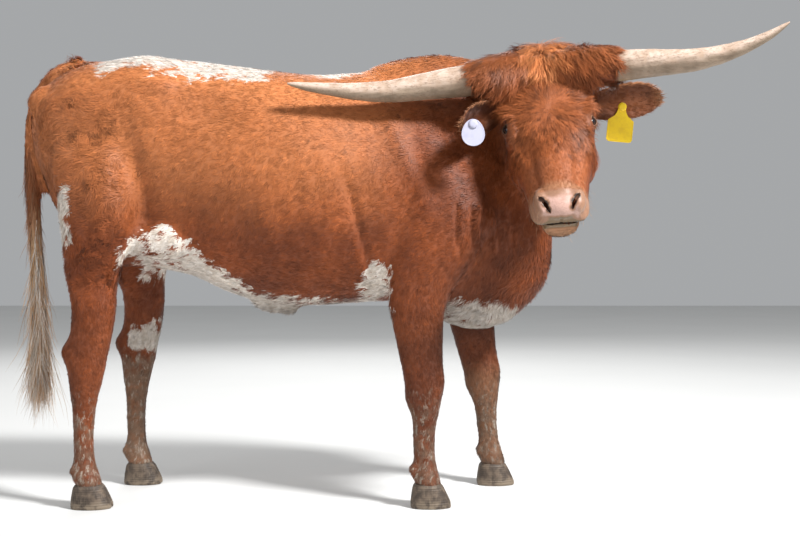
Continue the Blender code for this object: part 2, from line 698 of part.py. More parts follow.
def lock(root, way, out, length, width, thickness, bend, sink=0.006):
    """A flat, tapered lock of hair that leaves along way and bends towards a vector."""
    way, out, bend = Vector(way).normalized(), Vector(out).normalized(), Vector(bend)
    side = way.cross(out).normalized()
    rings = []
    for part, wide, thick in ((0.0, 0.8, 0.9), (0.35, 1.0, 1.0), (0.72, 0.7, 0.7), (1.0, 0.10, 0.2)):
        place = Vector(root) - out * sink * (1 - part) + way * length * part + bend * length * part * part
        s, o = side * width * wide / 2, out * thickness * thick / 2
        rings.append([place + s, place + o, place - s, place - o])
    return closed_mesh("lock", np.array(rings))


def poll_locks(head):
    """Overlapping locks over the poll, the forehead and the roots of the horns, row by row."""
    rng = np.random.default_rng(11)
    frame = head_frame()
    bm = bmesh.new()
    bm.from_mesh(head.data)
    tree = BVHTree.FromBMesh(bm)
    bm.free()
    turn = frame.to_3x3()
    down, left, face_out = turn.col[0], turn.col[1], turn.col[2]
    up = Vector((0, 0, 1))
    locks = []
    for along, reach, count, lift in ((-0.050, 0.12, 7, 0.50), (-0.015, 0.14, 8, 0.34), (0.030, 0.10, 6, 0.24), (0.070, 0.06, 4, 0.18)):
        for place in np.linspace(-reach, reach, count):
            v = place + rng.uniform(-0.008, 0.008)
            start = frame @ Vector((along + rng.uniform(-0.008, 0.008), v, 0.0)) + face_out * 0.12 + up * 0.06
            hit, normal, _, _ = tree.ray_cast(start, -(face_out + up * 0.45).normalized())
            if hit is None:
                continue
            way = down + left * (0.6 * v / 0.1 + rng.uniform(-0.2, 0.2))
            way = (way - way.dot(normal) * normal).normalized() + normal * (lift + rng.uniform(-0.05, 0.05))
            bend = left * rng.uniform(-0.12, 0.12) - normal * (0.8 * lift)
            locks.append(lock(hit, way, normal, rng.uniform(0.070, 0.095), rng.uniform(0.032, 0.040), 0.009, bend))
    horns = horn_frame()
    for side in (-1, 1):
        for reach, forward, radius in ((0.095, 0.004, 0.060), (0.135, 0.014, 0.055)):
            for angle in (20, 65, 110):
                turn = math.radians(angle + rng.uniform(-10, 10))
                out = Vector((math.cos(turn), 0, math.sin(turn)))
                root = horns @ (Vector((forward, side * reach, -0.004)) + out * radius)
                out = horns.to_3x3() @ out
                way = horns.to_3x3() @ Vector((0, side, -0.12)) + out * 0.16
                locks.append(lock(root, way, out, rng.uniform(0.055, 0.070), 0.034, 0.008, -out * 0.12))
    return locks


def head_skin(horns):
    """The head with its lids, nostrils and mouth, cut off flat at the neck."""
    frame = head_frame()
    forms = [in_frame(form, frame) for form in head_forms()]
    forms += [horn_boss(-1), horn_boss(1), neck_form(3)]
    head = blended(gathered("head", forms), 0.0045, 10, HEAD_TRIANGLES)
    behind = box("behind", neck_cut_frame(), (-0.5, -0.6, -0.6), (GAP / 2, 0.6, 0.5))
    boolean(head, [behind], "DIFFERENCE")
    boolean(head, poll_locks(head) + [eyeball("lids", side, LID_THICKNESS) for side in (-1, 1)], "UNION")
    largest_shell(head)
    cuts = [mouth_line()] + [grown(horn, GAP) for horn in horns]
    for side in (-1, 1):
        cuts += [lid_opening(side), eyeball("eye_space", side, GAP), nostril(side)]
    boolean(head, cuts, "DIFFERENCE")
    return largest_shell(head)


# Ears and their tags


def ear_axes(ear):
    root, tip, facing = (Vector(v) for v in ear)
    along = tip - root
    face = (facing - facing.project(along)).normalized()
    return root, along, face, face.cross(along).normalized()


def ear_form(name, ear):
    """A cupped leaf: its back and the inside of its cup, ring by ring."""
    root, along, face, width = ear_axes(ear)
    rings = []
    across = np.linspace(-1, 1, 7)
    for share, half, depth, thick in smooth_rows(EAR, 13):
        share, half, depth, thick = min(share, 1.0), max(half, 0.005), max(depth, 0.0), max(thick, 0.003)
        bowl = 1 - across**2
        back = [root + along * share + width * half * k - face * (depth * b + 0.001) for k, b in zip(across, bowl)]
        cup = [
            root + along * share + width * half * k * 0.94 - face * (depth * b - thick * b**0.5)
            for k, b in zip(across[::-1][1:-1], bowl[::-1][1:-1])
        ]
        rings.append(back + cup)
    return closed_mesh(name, np.array(rings))


def pin_place(ear, pin):
    """Where a tag's pin crosses the edge plane of an ear, and the plane's axes there."""
    root, along, face, width = ear_axes(ear)
    table = np.array(EAR)
    half = np.interp(pin[0], table[:, 0], table[:, 1])
    depth = np.interp(pin[0], table[:, 0], table[:, 2]) * (1 - pin[1] ** 2)
    return root + along * pin[0] + width * half * pin[1], face, depth


def pin_frame(ear, pin, facing):
    """A tag's frame: Z out of its face, Y up, with its pin at the middle."""
    place, _, depth = pin_place(ear, pin)
    out = Vector(facing).normalized()
    across = Vector((0, 0, 1)).cross(out).normalized()
    turn = Matrix((across, out.cross(across), out)).transposed().to_4x4()
    return Matrix.Translation(place) @ turn, depth


def turned(name, frame, profile, corners=10):
    """A form turned about its frame's Z from pairs of height and radius."""
    angle = np.arange(corners) * 2 * math.pi / corners
    rings = [np.stack([r * np.cos(angle), r * np.sin(angle), np.full(corners, z)], axis=1) for z, r in profile]
    return in_frame(closed_mesh(name, np.array(rings)), frame)


def stud(name, frame, front, back):
    """A button before the tag, its pin through the ear, and a button behind."""
    pin = PIN_RADIUS
    profile = [(front + 0.0045, 0.009), (front + 0.003, 0.012), (front, 0.012), (front, pin), (back, pin), (back, 0.011), (back - 0.003, 0.010)]
    return turned(name, frame, profile)


def panel(name, frame, outline_points, bottom, thickness=0.0018):
    """A flat tag with a hole for its pin."""
    points = np.array(outline_points)
    rings = [np.column_stack([points, np.full(len(points), bottom + h)]) for h in (0, thickness)]
    tag = in_frame(closed_mesh(name, np.array(rings)), frame)
    bpy.context.scene.collection.objects.link(tag)
    hole = turned("hole", frame, [(bottom - 0.01, PIN_RADIUS + GAP), (bottom + 0.01, PIN_RADIUS + GAP)])
    boolean(tag, [hole], "DIFFERENCE")
    bpy.context.scene.collection.objects.unlink(tag)
    return tag


def left_panel_outline():
    """A plate with rounded corners below a tapering neck, hung a little askew."""
    half, low, shoulder, tilt = 0.036, -0.096, -0.034, math.radians(-5)
    points = [(-0.009, 0.007), (0.0, 0.011), (0.009, 0.007), (0.011, -0.012), (half - 0.005, shoulder)]
    points += [(half, shoulder - 0.006), (half, low + 0.008), (half - 0.003, low + 0.002), (half - 0.009, low)]
    points += [(-x, y) for x, y in reversed(points[3:])]
    turn = math.cos(tilt), math.sin(tilt)
    return [(x * turn[0] - y * turn[1], x * turn[1] + y * turn[0]) for x, y in reversed(points)]


def right_panel_outline():
    """An egg-shaped plate, narrower above."""
    turn = np.arange(22) * 2 * math.pi / 22
    return [(0.0305 * math.cos(a) * (1 - 0.13 * math.sin(a)), -0.022 + 0.0355 * math.sin(a)) for a in turn]


# Claws, tail and switch


def claw(name, foot, middle, side, inner):
    """One claw, flat below, pointed at the toe, with its inner side flat. Side is which way its outside faces."""
    rows = [
        (0.0000, 0.014, 0.056, 0.0345, 0.0085),
        (0.0140, 0.013, 0.055, 0.0340, 0.0085),
        (0.0380, 0.009, 0.048, 0.0320, 0.0085),
        (HOOF_TOP - GAP, 0.006, 0.041, 0.0300, 0.0085),
    ]
    rings = []
    for z, forward, half, outer, in_reach in rows:
        along, over = outline(half, outer, in_reach, 2.3, 5.0, 14)
        over = np.where(over > 0, over * (1 - 0.28 * np.clip(along / half, 0, 1) ** 2), over)
        rings.append(np.stack([foot + forward + along, middle + side * (0.0105 + over), np.full(14, z)], axis=1))
    return closed_mesh(name, np.array(rings))


def switch_form():
    """The tail's switch: long flat locks round its end, fused into one body."""
    rng = np.random.default_rng(5)
    core_rows = [
        (-1.0310, -0.0160, SWITCH_TOP + 0.010, 0.018, 0.018, 0.018, 2, 2),
        (-1.0280, -0.0160, 0.640, 0.020, 0.020, 0.020, 2, 2),
        (-1.0240, -0.0150, 0.540, 0.019, 0.019, 0.019, 2, 2),
        (-1.0160, -0.0140, 0.430, 0.013, 0.013, 0.013, 2, 2),
        (-1.0080, -0.0130, 0.360, 0.006, 0.006, 0.006, 2, 2),
    ]
    core = loft("tail_switch", core_rows, 9, 8, hinged)
    bpy.context.scene.collection.objects.link(core)
    path = np.array(core_rows)[:, :3]
    locks = []
    for i in range(22):
        height = rng.uniform(0.40, 0.675) if i % 3 else rng.uniform(0.56, 0.675)
        order = path[::-1]
        root = Vector([float(np.interp(height, order[:, 2], order[:, k])) for k in (0, 1)] + [height])
        angle = i * 2.4 + rng.uniform(-0.3, 0.3)
        out = Vector((math.cos(angle), math.sin(angle), 0))
        length = min(rng.uniform(0.13, 0.22), height - SWITCH_END - rng.uniform(0.0, 0.03))
        way = out * rng.uniform(0.12, 0.24) + Vector((0.06, 0, -1))
        bend = out * -rng.uniform(0.10, 0.22) + Vector((0.03, 0, 0))
        locks.append(lock(root + out * 0.014, way, out, length, rng.uniform(0.018, 0.028), 0.009, bend, 0.008))
    locks.append(lock(Vector((-1.012, -0.014, 0.42)), Vector((0.05, 0.02, -1)), Vector((0.3, -1, 0)), 0.42 - SWITCH_END, 0.022, 0.012, Vector((0, 0, 0)), 0.002))
    boolean(core, locks, "UNION")
    above = box("above", Matrix(), (-1.3, -0.3, SWITCH_TOP - GAP), (-0.8, 0.3, 1.2))
    boolean(core, [above], "DIFFERENCE")
    largest_shell(core)
    bpy.context.scene.collection.objects.unlink(core)
    return core


def split_tail(tail):
    """The tail as a dock and a shaft, cut level."""
    below = box("below", Matrix(), (-1.4, -0.3, 0.2), (-0.7, 0.3, SWITCH_TOP))
    boolean(tail, [below, level_slab(TAIL_JOINT, (-1.4, -0.3), (-0.7, 0.3))], "DIFFERENCE")
    pieces = sorted(shells_of(tail)[:2], key=lambda mesh: -max(v.co.z for v in mesh.vertices))
    bpy.data.objects.remove(tail)
    return {name: bpy.data.objects.new(name, mesh) for name, mesh in zip(("tail_dock", "tail_shaft"), pieces)}


# Plain colours of the parts
COLOURS = {
    "eye": (0.02, 0.015, 0.012),
    "horn": (0.62, 0.54, 0.45),
    "claw": (0.10, 0.07, 0.05),
    "tag_left": (0.85, 0.62, 0.03),
    "tag_right": (0.70, 0.72, 0.76),
    "tail_switch": (0.30, 0.17, 0.10),
    "": (0.36, 0.11, 0.035),
}


def finish(parts):
    """Names, links and colours the parts, and stands them on the origin."""
    low, high = Vector((1e9,) * 3), Vector((-1e9,) * 3)
    for obj in parts.values():
        for vert in obj.data.vertices:
            low, high = Vector(map(min, low, vert.co)), Vector(map(max, high, vert.co))
    move = Vector((-(low.x + high.x) / 2, -(low.y + high.y) / 2, -low.z))
    for name, obj in parts.items():
        obj.name = obj.data.name = name
        obj.data.transform(Matrix.Translation(move))
        if obj.name not in bpy.context.scene.collection.objects:
            bpy.context.scene.collection.objects.link(obj)
        colour = next(value for key, value in COLOURS.items() if name.startswith(key))
        material = bpy.data.materials.new(name)
        material.diffuse_color = (*colour, 1)
        obj.data.materials.clear()
        obj.data.materials.append(material)
    return move


def main():
    clear_scene()
    parts = {}
    tail = tail_form()
    bpy.context.scene.collection.objects.link(tail)
    parts.update(body_skin(tail))
    parts.update(split_tail(tail))
    parts["tail_switch"] = switch_form()
    parts["horn_left"], parts["horn_right"] = horn_form(1), horn_form(-1)
    parts["head"] = head_skin([parts["horn_left"], parts["horn_right"]])
    parts["eye_left"], parts["eye_right"] = eyeball("eye_left", 1, 0), eyeball("eye_right", -1, 0)
    for name, ear, pin, facing, stand_off, shape in (
        ("left", EAR_LEFT, TAG_LEFT_PIN, (0.05, -1, -0.05), 0.014, left_panel_outline()),
        ("right", EAR_RIGHT, TAG_RIGHT_PIN, (0.10, -1, 0.05), 0.034, right_panel_outline()),
    ):
        leaf = ear_form("ear_" + name, ear)
        bpy.context.scene.collection.objects.link(leaf)
        frame, depth = pin_frame(ear, pin, facing)
        front, back = stand_off, -1.3 * depth - 0.009
        button = stud("stud", frame, front + 0.0018 + GAP, back)
        cuts = [grown(parts["head"], GAP), grown(parts["neck"], GAP), grown(button, GAP)]
        boolean(leaf, cuts, "DIFFERENCE")
        parts["ear_" + name] = largest_shell(leaf)
        parts["tag_%s_panel" % name] = panel("tag", frame, shape, front)
        parts["tag_%s_button" % name] = button
    for where, foot, spread in (
        ("front_right", FRONT_RIGHT_FOOT, -LEG_SPREAD_FRONT),
        ("front_left", FRONT_LEFT_FOOT, LEG_SPREAD_FRONT),
        ("hind_right", HIND_RIGHT_FOOT, -LEG_SPREAD_HIND),
        ("hind_left", HIND_LEFT_FOOT, LEG_SPREAD_HIND),
    ):
        for which, side in (("left", 1), ("right", -1)):
            name = "claw_%s_%s" % (where, which)
            parts[name] = claw(name, foot, spread, side, 0.002)
    return finish(parts)


OFFSET = main()
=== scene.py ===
"""Looks of a young longhorn steer at life size, standing, with its head turned to its right.

X runs forward along the body, Y to the animal's left and Z up, in metres. The forms are made round the
animal's own middle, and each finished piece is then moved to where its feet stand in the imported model.
"""

import math

import bmesh
import bpy
import numpy as np
from mathutils import Matrix, Vector
from mathutils.bvhtree import BVHTree
from mathutils.kdtree import KDTree


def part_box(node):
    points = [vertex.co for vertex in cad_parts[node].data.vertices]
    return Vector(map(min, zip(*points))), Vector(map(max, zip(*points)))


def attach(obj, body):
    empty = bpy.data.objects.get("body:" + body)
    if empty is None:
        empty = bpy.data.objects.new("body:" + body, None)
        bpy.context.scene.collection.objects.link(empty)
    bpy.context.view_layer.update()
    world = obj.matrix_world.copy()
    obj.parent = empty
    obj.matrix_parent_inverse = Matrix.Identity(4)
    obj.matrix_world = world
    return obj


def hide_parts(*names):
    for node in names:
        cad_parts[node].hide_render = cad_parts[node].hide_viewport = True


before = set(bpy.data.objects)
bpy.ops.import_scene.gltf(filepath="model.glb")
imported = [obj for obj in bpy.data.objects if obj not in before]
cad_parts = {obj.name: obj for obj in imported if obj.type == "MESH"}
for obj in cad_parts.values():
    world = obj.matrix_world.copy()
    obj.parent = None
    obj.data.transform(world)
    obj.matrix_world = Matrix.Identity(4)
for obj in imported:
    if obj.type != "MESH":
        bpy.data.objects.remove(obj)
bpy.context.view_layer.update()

# Where the feet stand, and how far they are spread
FRONT_RIGHT_FOOT, FRONT_LEFT_FOOT = 0.070, 0.272
HIND_RIGHT_FOOT, HIND_LEFT_FOOT = -0.852, -0.785
LEG_SPREAD_FRONT, LEG_SPREAD_HIND = 0.165, 0.175

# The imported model's own place, read from its front claws
NEAR_CLAW, FAR_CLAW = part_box("claw_front_right_right"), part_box("claw_front_left_left")
SHIFT = Vector((NEAR_CLAW[0].x - FRONT_RIGHT_FOOT + 0.042, (NEAR_CLAW[0].y + FAR_CLAW[1].y) / 2, 0))

# The head: its poll, and how it is turned, lowered and tilted
POLL = Vector((0.386, -0.166, 1.203))
HEAD_YAW, HEAD_PITCH, HEAD_ROLL = math.radians(-4.7), math.radians(50), math.radians(5.3)
HORN_CENTRE = Vector((0.386, -0.181, 1.181))

# Horns: left reach, right reach, forward, up on the left, up on the right, radius
HORN = [
    (0.110, 0.118, 0.014, -0.003, -0.002, 0.0425),
    (0.131, 0.142, 0.018, -0.004, -0.003, 0.0438),
    (0.187, 0.201, 0.026, -0.007, -0.006, 0.0432),
    (0.244, 0.260, 0.036, -0.010, -0.008, 0.0402),
    (0.291, 0.309, 0.045, -0.013, -0.011, 0.0372),
    (0.347, 0.368, 0.057, -0.017, -0.016, 0.0331),
    (0.402, 0.427, 0.069, -0.019, -0.018, 0.0292),
    (0.466, 0.496, 0.084, -0.013, -0.013, 0.0241),
    (0.529, 0.565, 0.101, -0.000, -0.002, 0.0182),
    (0.583, 0.624, 0.115, 0.019, 0.009, 0.0128),
    (0.613, 0.658, 0.124, 0.034, 0.017, 0.0078),
    (0.630, 0.677, 0.129, 0.043, 0.0215, 0.0030),
]

# Eyes, in the head's own measures
EYE_AT = (0.190, 0.103, -0.053)
EYE_RADIUS = 0.0195
LID_THICKNESS = 0.0040

# Ears: root, tip and the way the cup faces; then share of length, half width, depth of the cup, thickness
EARS = {
    "left": ((0.483, -0.143, 1.082), (0.713, -0.135, 1.120), (0.15, -0.96, -0.22)),
    "right": ((0.288, -0.159, 1.078), (0.162, -0.293, 1.021), (0.70, -0.66, -0.25)),
}
EAR = [
    (0.00, 0.024, 0.020, 0.028),
    (0.12, 0.031, 0.025, 0.022),
    (0.28, 0.046, 0.028, 0.009),
    (0.48, 0.055, 0.026, 0.006),
    (0.68, 0.056, 0.020, 0.005),
    (0.84, 0.049, 0.014, 0.0045),
    (0.93, 0.036, 0.008, 0.004),
    (0.975, 0.021, 0.004, 0.0035),
    (0.99, 0.009, 0.002, 0.003),
]
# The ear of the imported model, which the tags' pins pass through: share of its length, half width, depth
CAD_EAR = [
    (0.00, 0.027, 0.022),
    (0.12, 0.034, 0.026),
    (0.28, 0.045, 0.028),
    (0.48, 0.051, 0.026),
    (0.68, 0.048, 0.020),
    (0.85, 0.037, 0.012),
    (0.96, 0.021, 0.006),
    (1.00, 0.008, 0.002),
]
# Tags: the pin's share of the ear's length and of its half width, the way it faces, how far out it hangs
TAGS = {
    "left": ((0.526, -0.22), (0.05, -1, -0.05), 0.014),
    "right": ((0.80, 0.15), (0.10, -1, 0.05), 0.034),
}
PIN_RADIUS = 0.003

# How high the tail's long hair ends
SWITCH_END = 0.290

# How deep the coat is on the body, the legs and the face
COAT_BODY, COAT_LEG, COAT_FACE = 0.006, 0.0035, 0.0025

# Sections of the body: x, y, z, half width, rise, drop, top power, bottom power
BARREL = [
    (-1.035, 0, 1.06, 0.080, 0.060, 0.100, 2.0, 2.0),
    (-0.985, 0, 1.05, 0.145, 0.130, 0.220, 2.1, 2.0),
    (-0.910, 0, 1.05, 0.185, 0.172, 0.330, 2.3, 2.0),
    (-0.820, 0, 1.04, 0.205, 0.198, 0.385, 2.4, 2.0),
    (-0.710, 0, 1.03, 0.215, 0.222, 0.385, 2.5, 2.0),
    (-0.600, 0, 0.97, 0.220, 0.270, 0.345, 2.4, 2.0),
    (-0.480, 0, 0.93, 0.240, 0.298, 0.358, 2.2, 2.05),
    (-0.350, 0, 0.90, 0.256, 0.312, 0.360, 2.1, 2.1),
    (-0.220, 0, 0.88, 0.256, 0.322, 0.340, 2.0, 2.1),
    (-0.100, 0, 0.87, 0.240, 0.340, 0.322, 1.9, 2.1),
    (0.020, 0, 0.87, 0.220, 0.345, 0.320, 1.8, 2.0),
    (0.130, 0, 0.86, 0.200, 0.330, 0.335, 1.8, 1.9),
    (0.230, 0, 0.83, 0.178, 0.290, 0.325, 1.9, 1.8),
    (0.320, 0, 0.79, 0.145, 0.230, 0.280, 2.0, 1.8),
    (0.400, 0, 0.77, 0.095, 0.150, 0.190, 2.0, 1.9),
    (0.435, 0, 0.76, 0.045, 0.080, 0.100, 2.0, 2.0),
]
BRISKET = [
    (0.060, 0, 0.590, 0.050, 0.050, 0.045, 2.0, 2.0),
    (0.130, 0, 0.585, 0.068, 0.080, 0.095, 2.0, 2.0),
    (0.220, 0, 0.590, 0.075, 0.100, 0.120, 2.0, 2.0),
    (0.310, 0, 0.620, 0.066, 0.120, 0.125, 2.0, 2.0),
    (0.380, 0, 0.680, 0.050, 0.120, 0.115, 2.0, 2.0),
    (0.425, 0, 0.740, 0.032, 0.090, 0.080, 2.0, 2.0),
]
NECK = [
    (-0.100, 0.000, 0.930, 0.150, 0.262, 0.220, 1.8, 1.9),
    (0.000, 0.000, 0.945, 0.158, 0.297, 0.250, 1.8, 1.9),
    (0.100, 0.000, 0.955, 0.150, 0.306, 0.270, 1.7, 1.8),
    (0.210, 0.010, 0.975, 0.128, 0.294, 0.275, 1.7, 1.7),
    (0.310, 0.000, 1.000, 0.114, 0.250, 0.265, 1.8, 1.7),
    (0.375, -0.055, 1.018, 0.107, 0.195, 0.220, 1.9, 1.8),
    (0.398, -0.122, 1.035, 0.104, 0.150, 0.170, 2.0, 2.0),
    (0.402, -0.178, 1.040, 0.095, 0.120, 0.130, 2.0, 2.0),
]
TAIL = [
    (-0.860, 0.000, 1.200, 0.028, 0.028, 0.028, 2.0, 2.0),
    (-0.935, 0.000, 1.206, 0.036, 0.038, 0.038, 2.0, 2.0),
    (-0.996, 0.000, 1.170, 0.036, 0.036, 0.036, 2.0, 2.0),
    (-1.036, -0.002, 1.095, 0.031, 0.030, 0.030, 2.0, 2.0),
    (-1.046, -0.005, 0.990, 0.028, 0.028, 0.028, 2.0, 2.0),
    (-1.043, -0.010, 0.870, 0.023, 0.023, 0.023, 2.0, 2.0),
    (-1.035, -0.014, 0.760, 0.019, 0.019, 0.019, 2.0, 2.0),
    (-1.029, -0.016, 0.680, 0.017, 0.017, 0.017, 2.0, 2.0),
    (-1.026, -0.016, 0.600, 0.013, 0.013, 0.013, 2.0, 2.0),
]
# Sections of the legs: height, x from the foot, fore reach, aft reach, half width, y
FRONT_LEG = [
    (1.120, -0.055, 0.085, 0.090, 0.040, 0.090),
    (1.020, -0.020, 0.110, 0.120, 0.058, 0.128),
    (0.900, 0.020, 0.135, 0.140, 0.066, 0.152),
    (0.790, 0.050, 0.145, 0.140, 0.068, 0.165),
    (0.690, 0.030, 0.120, 0.120, 0.068, 0.165),
    (0.610, -0.005, 0.100, 0.098, 0.064, 0.162),
    (0.545, -0.022, 0.082, 0.084, 0.058, 0.160),
    (0.475, -0.018, 0.070, 0.072, 0.052, 0.160),
    (0.400, -0.012, 0.062, 0.062, 0.046, 0.162),
    (0.340, -0.006, 0.062, 0.056, 0.049, 0.164),
    (0.290, -0.006, 0.054, 0.054, 0.045, 0.165),
    (0.240, -0.002, 0.040, 0.040, 0.035, 0.165),
    (0.186, -0.004, 0.034, 0.035, 0.031, 0.165),
    (0.125, -0.002, 0.034, 0.036, 0.032, 0.165),
    (0.092, 0.000, 0.039, 0.042, 0.040, 0.165),
    (0.066, 0.006, 0.040, 0.040, 0.042, 0.165),
    (0.040, 0.012, 0.030, 0.028, 0.030, 0.165),
]
HIND_LEG = [
    (1.110, 0.055, 0.110, 0.120, 0.050, 0.105),
    (1.010, 0.040, 0.150, 0.150, 0.075, 0.128),
    (0.905, 0.040, 0.142, 0.140, 0.085, 0.142),
    (0.800, 0.036, 0.122, 0.118, 0.084, 0.150),
    (0.710, 0.024, 0.096, 0.094, 0.075, 0.158),
    (0.630, 0.012, 0.078, 0.074, 0.064, 0.163),
    (0.540, 0.016, 0.068, 0.062, 0.056, 0.168),
    (0.470, 0.010, 0.064, 0.060, 0.048, 0.172),
    (0.425, -0.002, 0.066, 0.072, 0.045, 0.174),
    (0.376, -0.004, 0.058, 0.052, 0.044, 0.175),
    (0.310, -0.006, 0.044, 0.042, 0.037, 0.175),
    (0.257, -0.007, 0.035, 0.035, 0.033, 0.175),
    (0.185, -0.008, 0.031, 0.031, 0.031, 0.175),
    (0.130, -0.006, 0.032, 0.033, 0.033, 0.175),
    (0.095, -0.003, 0.038, 0.039, 0.041, 0.175),
    (0.066, 0.004, 0.040, 0.040, 0.043, 0.175),
    (0.040, 0.012, 0.030, 0.028, 0.030, 0.175),
]
# Sections of the head, in its own frame
SKULL = [
    (-0.050, 0, -0.070, 0.066, 0.050, 0.050, 2.4, 2.0),
    (-0.015, 0, -0.075, 0.106, 0.077, 0.070, 2.6, 2.0),
    (0.040, 0, -0.082, 0.120, 0.086, 0.090, 2.8, 2.0),
    (0.100, 0, -0.090, 0.121, 0.092, 0.106, 3.0, 1.9),
    (0.160, 0, -0.098, 0.122, 0.096, 0.112, 2.7, 1.9),
    (0.210, 0, -0.106, 0.119, 0.098, 0.106, 2.3, 1.9),
    (0.260, 0, -0.110, 0.112, 0.094, 0.094, 2.0, 1.9),
    (0.310, 0, -0.108, 0.101, 0.084, 0.078, 1.8, 1.9),
    (0.360, 0, -0.102, 0.089, 0.072, 0.060, 1.8, 2.0),
    (0.410, 0, -0.096, 0.080, 0.062, 0.048, 1.9, 2.0),
    (0.455, 0, -0.092, 0.076, 0.052, 0.040, 2.0, 2.0),
    (0.490, 0, -0.086, 0.050, 0.034, 0.030, 2.0, 2.0),
]
NOSE = [
    (0.080, 0, -0.054, 0.080, 0.042, 0.040, 2.4, 2.0),
    (0.160, 0, -0.054, 0.074, 0.044, 0.040, 2.3, 2.0),
    (0.240, 0, -0.054, 0.064, 0.042, 0.040, 2.2, 2.0),
    (0.320, 0, -0.055, 0.056, 0.038, 0.040, 2.1, 2.0),
    (0.390, 0, -0.056, 0.050, 0.033, 0.036, 2.1, 2.0),
    (0.445, 0, -0.058, 0.047, 0.030, 0.034, 2.2, 2.0),
    (0.480, 0, -0.066, 0.034, 0.022, 0.028, 2.0, 2.0),
]
JAW = [
    (0.090, 0, -0.155, 0.062, 0.050, 0.048, 2.0, 2.0),
    (0.160, 0, -0.160, 0.070, 0.050, 0.054, 2.0, 1.9),
    (0.240, 0, -0.158, 0.062, 0.050, 0.054, 2.0, 1.8),
    (0.320, 0, -0.150, 0.052, 0.045, 0.044, 2.0, 1.9),
    (0.390, 0, -0.144, 0.047, 0.035, 0.038, 2.0, 2.0),
    (0.445, 0, -0.137, 0.053, 0.030, 0.045, 2.1, 2.0),
    (0.480, 0, -0.131, 0.044, 0.020, 0.036, 2.0, 2.0),
]
# Rounded forms of the head on each side: place down the face, aside and out, then three radii
HEAD_BALLS = {
    "cheek": ((0.215, 0.080, -0.132), (0.115, 0.042, 0.062)),
    "temple": ((0.045, 0.092, -0.050), (0.070, 0.046, 0.050)),
    "brow": ((0.156, 0.088, -0.044), (0.056, 0.032, 0.032)),
    "orbit": ((0.192, 0.093, -0.059), (0.050, 0.030, 0.040)),
    "nostril_wing": ((0.448, 0.044, -0.060), (0.044, 0.025, 0.029)),
    "lip": ((0.438, 0.050, -0.094), (0.055, 0.030, 0.024)),
    "ear_base": ((0.080, 0.102, -0.092), (0.040, 0.026, 0.038)),
    "horn_root": ((0.034, 0.085, -0.044), (0.062, 0.058, 0.058)),
}


# Frames of the head, the horns and the eyes


def turned_frame(place, down, yaw, roll):
    """A frame at a place, facing to the animal's right, pitched down, turned and tilted."""
    forward = Vector((math.sin(yaw), -math.cos(yaw), 0))
    left = Vector((math.cos(yaw), math.sin(yaw), 0))
    up = Vector((0, 0, 1))
    ahead = forward * math.cos(down) - up * math.sin(down)
    out = forward * math.sin(down) + up * math.cos(down)
    turn = Matrix((ahead, left, out)).transposed()
    return Matrix.Translation(place) @ (Matrix.Rotation(roll, 3, forward) @ turn).to_4x4()


def axes_frame(place, x, y, z):
    """A frame at a place, from its own three ways."""
    return Matrix.Translation(place) @ Matrix((x, y, z)).transposed().to_4x4()


HEAD = turned_frame(POLL, HEAD_PITCH, HEAD_YAW, HEAD_ROLL)
HORNS = turned_frame(HORN_CENTRE, 0, HEAD_YAW, HEAD_ROLL)
HEAD_TURN = np.array(HEAD)[:3, :3]


def eye_frame(side):
    """An eye's frame: X along its opening, Y across it, Z the way it looks."""
    look = Vector((0.10, side * 0.72, 0.68)).normalized()
    along = Vector((1.0, 0, 0.25))
    along = (along - along.dot(look) * look).normalized()
    return HEAD @ axes_frame((EYE_AT[0], side * EYE_AT[1], EYE_AT[2]), along, look.cross(along), look)


def ear_axes(which):
    """An ear's root, its length, the way its cup faces, and the way it is wide."""
    root, tip, facing = (Vector(v) for v in EARS[which])
    along = tip - root
    face = (facing - facing.project(along)).normalized()
    return root, along, face, face.cross(along).normalized()


# Sums on rows of numbers


def ramp(low, high, value):
    """0 below low, 1 above high and smooth between them; it falls where low is above high."""
    t = np.clip((value - low) / (high - low), 0, 1)
    return t * t * (3 - 2 * t)


def within(amount, *edges):
    """An amount that fades out past each edge of (value, where it is gone, where it is whole)."""
    for value, gone, whole in edges:
        amount = amount * ramp(gone, whole, value)
    return amount


def dome(*spans):
    """1 in the middle of each span of (value, middle, reach), and rounded down to 0 past its reach."""
    return np.exp(-sum(((value - middle) / reach) ** 2 for value, middle, reach in spans))


def patch(x, z, left, right, low, high, soft):
    """1 inside a soft-edged patch seen from the side."""
    sides = (x, left - soft, left + soft), (x, right + soft, right - soft)
    return within(1, *sides, (z, low - soft, low + soft), (z, high + soft, high - soft))


def noise(points, scale, seed=0):
    """Smooth noise between 0 and 1, with features about 1 / scale metres across."""
    p = points * scale + seed * 19.7
    base = np.floor(p).astype(np.int64)
    f = p - base
    f = f * f * (3 - 2 * f)
    total = np.zeros(len(points))
    for corner in range(8):
        step = np.array([corner & 1, corner >> 1 & 1, corner >> 2 & 1])
        cell = base + step
        mixed = (cell[:, 0] * 73856093) ^ (cell[:, 1] * 19349663) ^ (cell[:, 2] * 83492791)
        mixed = (mixed ^ (mixed >> 13)) * 1274126177 & 0x7FFFFFFF
        total += (mixed >> 7 & 0xFFFF) / 65535 * np.prod(np.where(step, f, 1 - f), axis=1)
    return total


def rough(points, scale, seed):
    """The same noise, above and below 0."""
    return noise(points, scale, seed) - 0.5


def stacked(*columns):
    """Columns side by side; a single number fills its own."""
    return np.stack(np.broadcast_arrays(*columns), axis=1)


def lengthwise(vectors):
    """Vectors made one long."""
    return vectors / np.maximum(np.linalg.norm(vectors, axis=-1, keepdims=True), 1e-9)


def flattened(lie, normals):
    """Directions laid flat on the skin."""
    return lengthwise(lie - normals * np.sum(lie * normals, axis=1)[:, None])


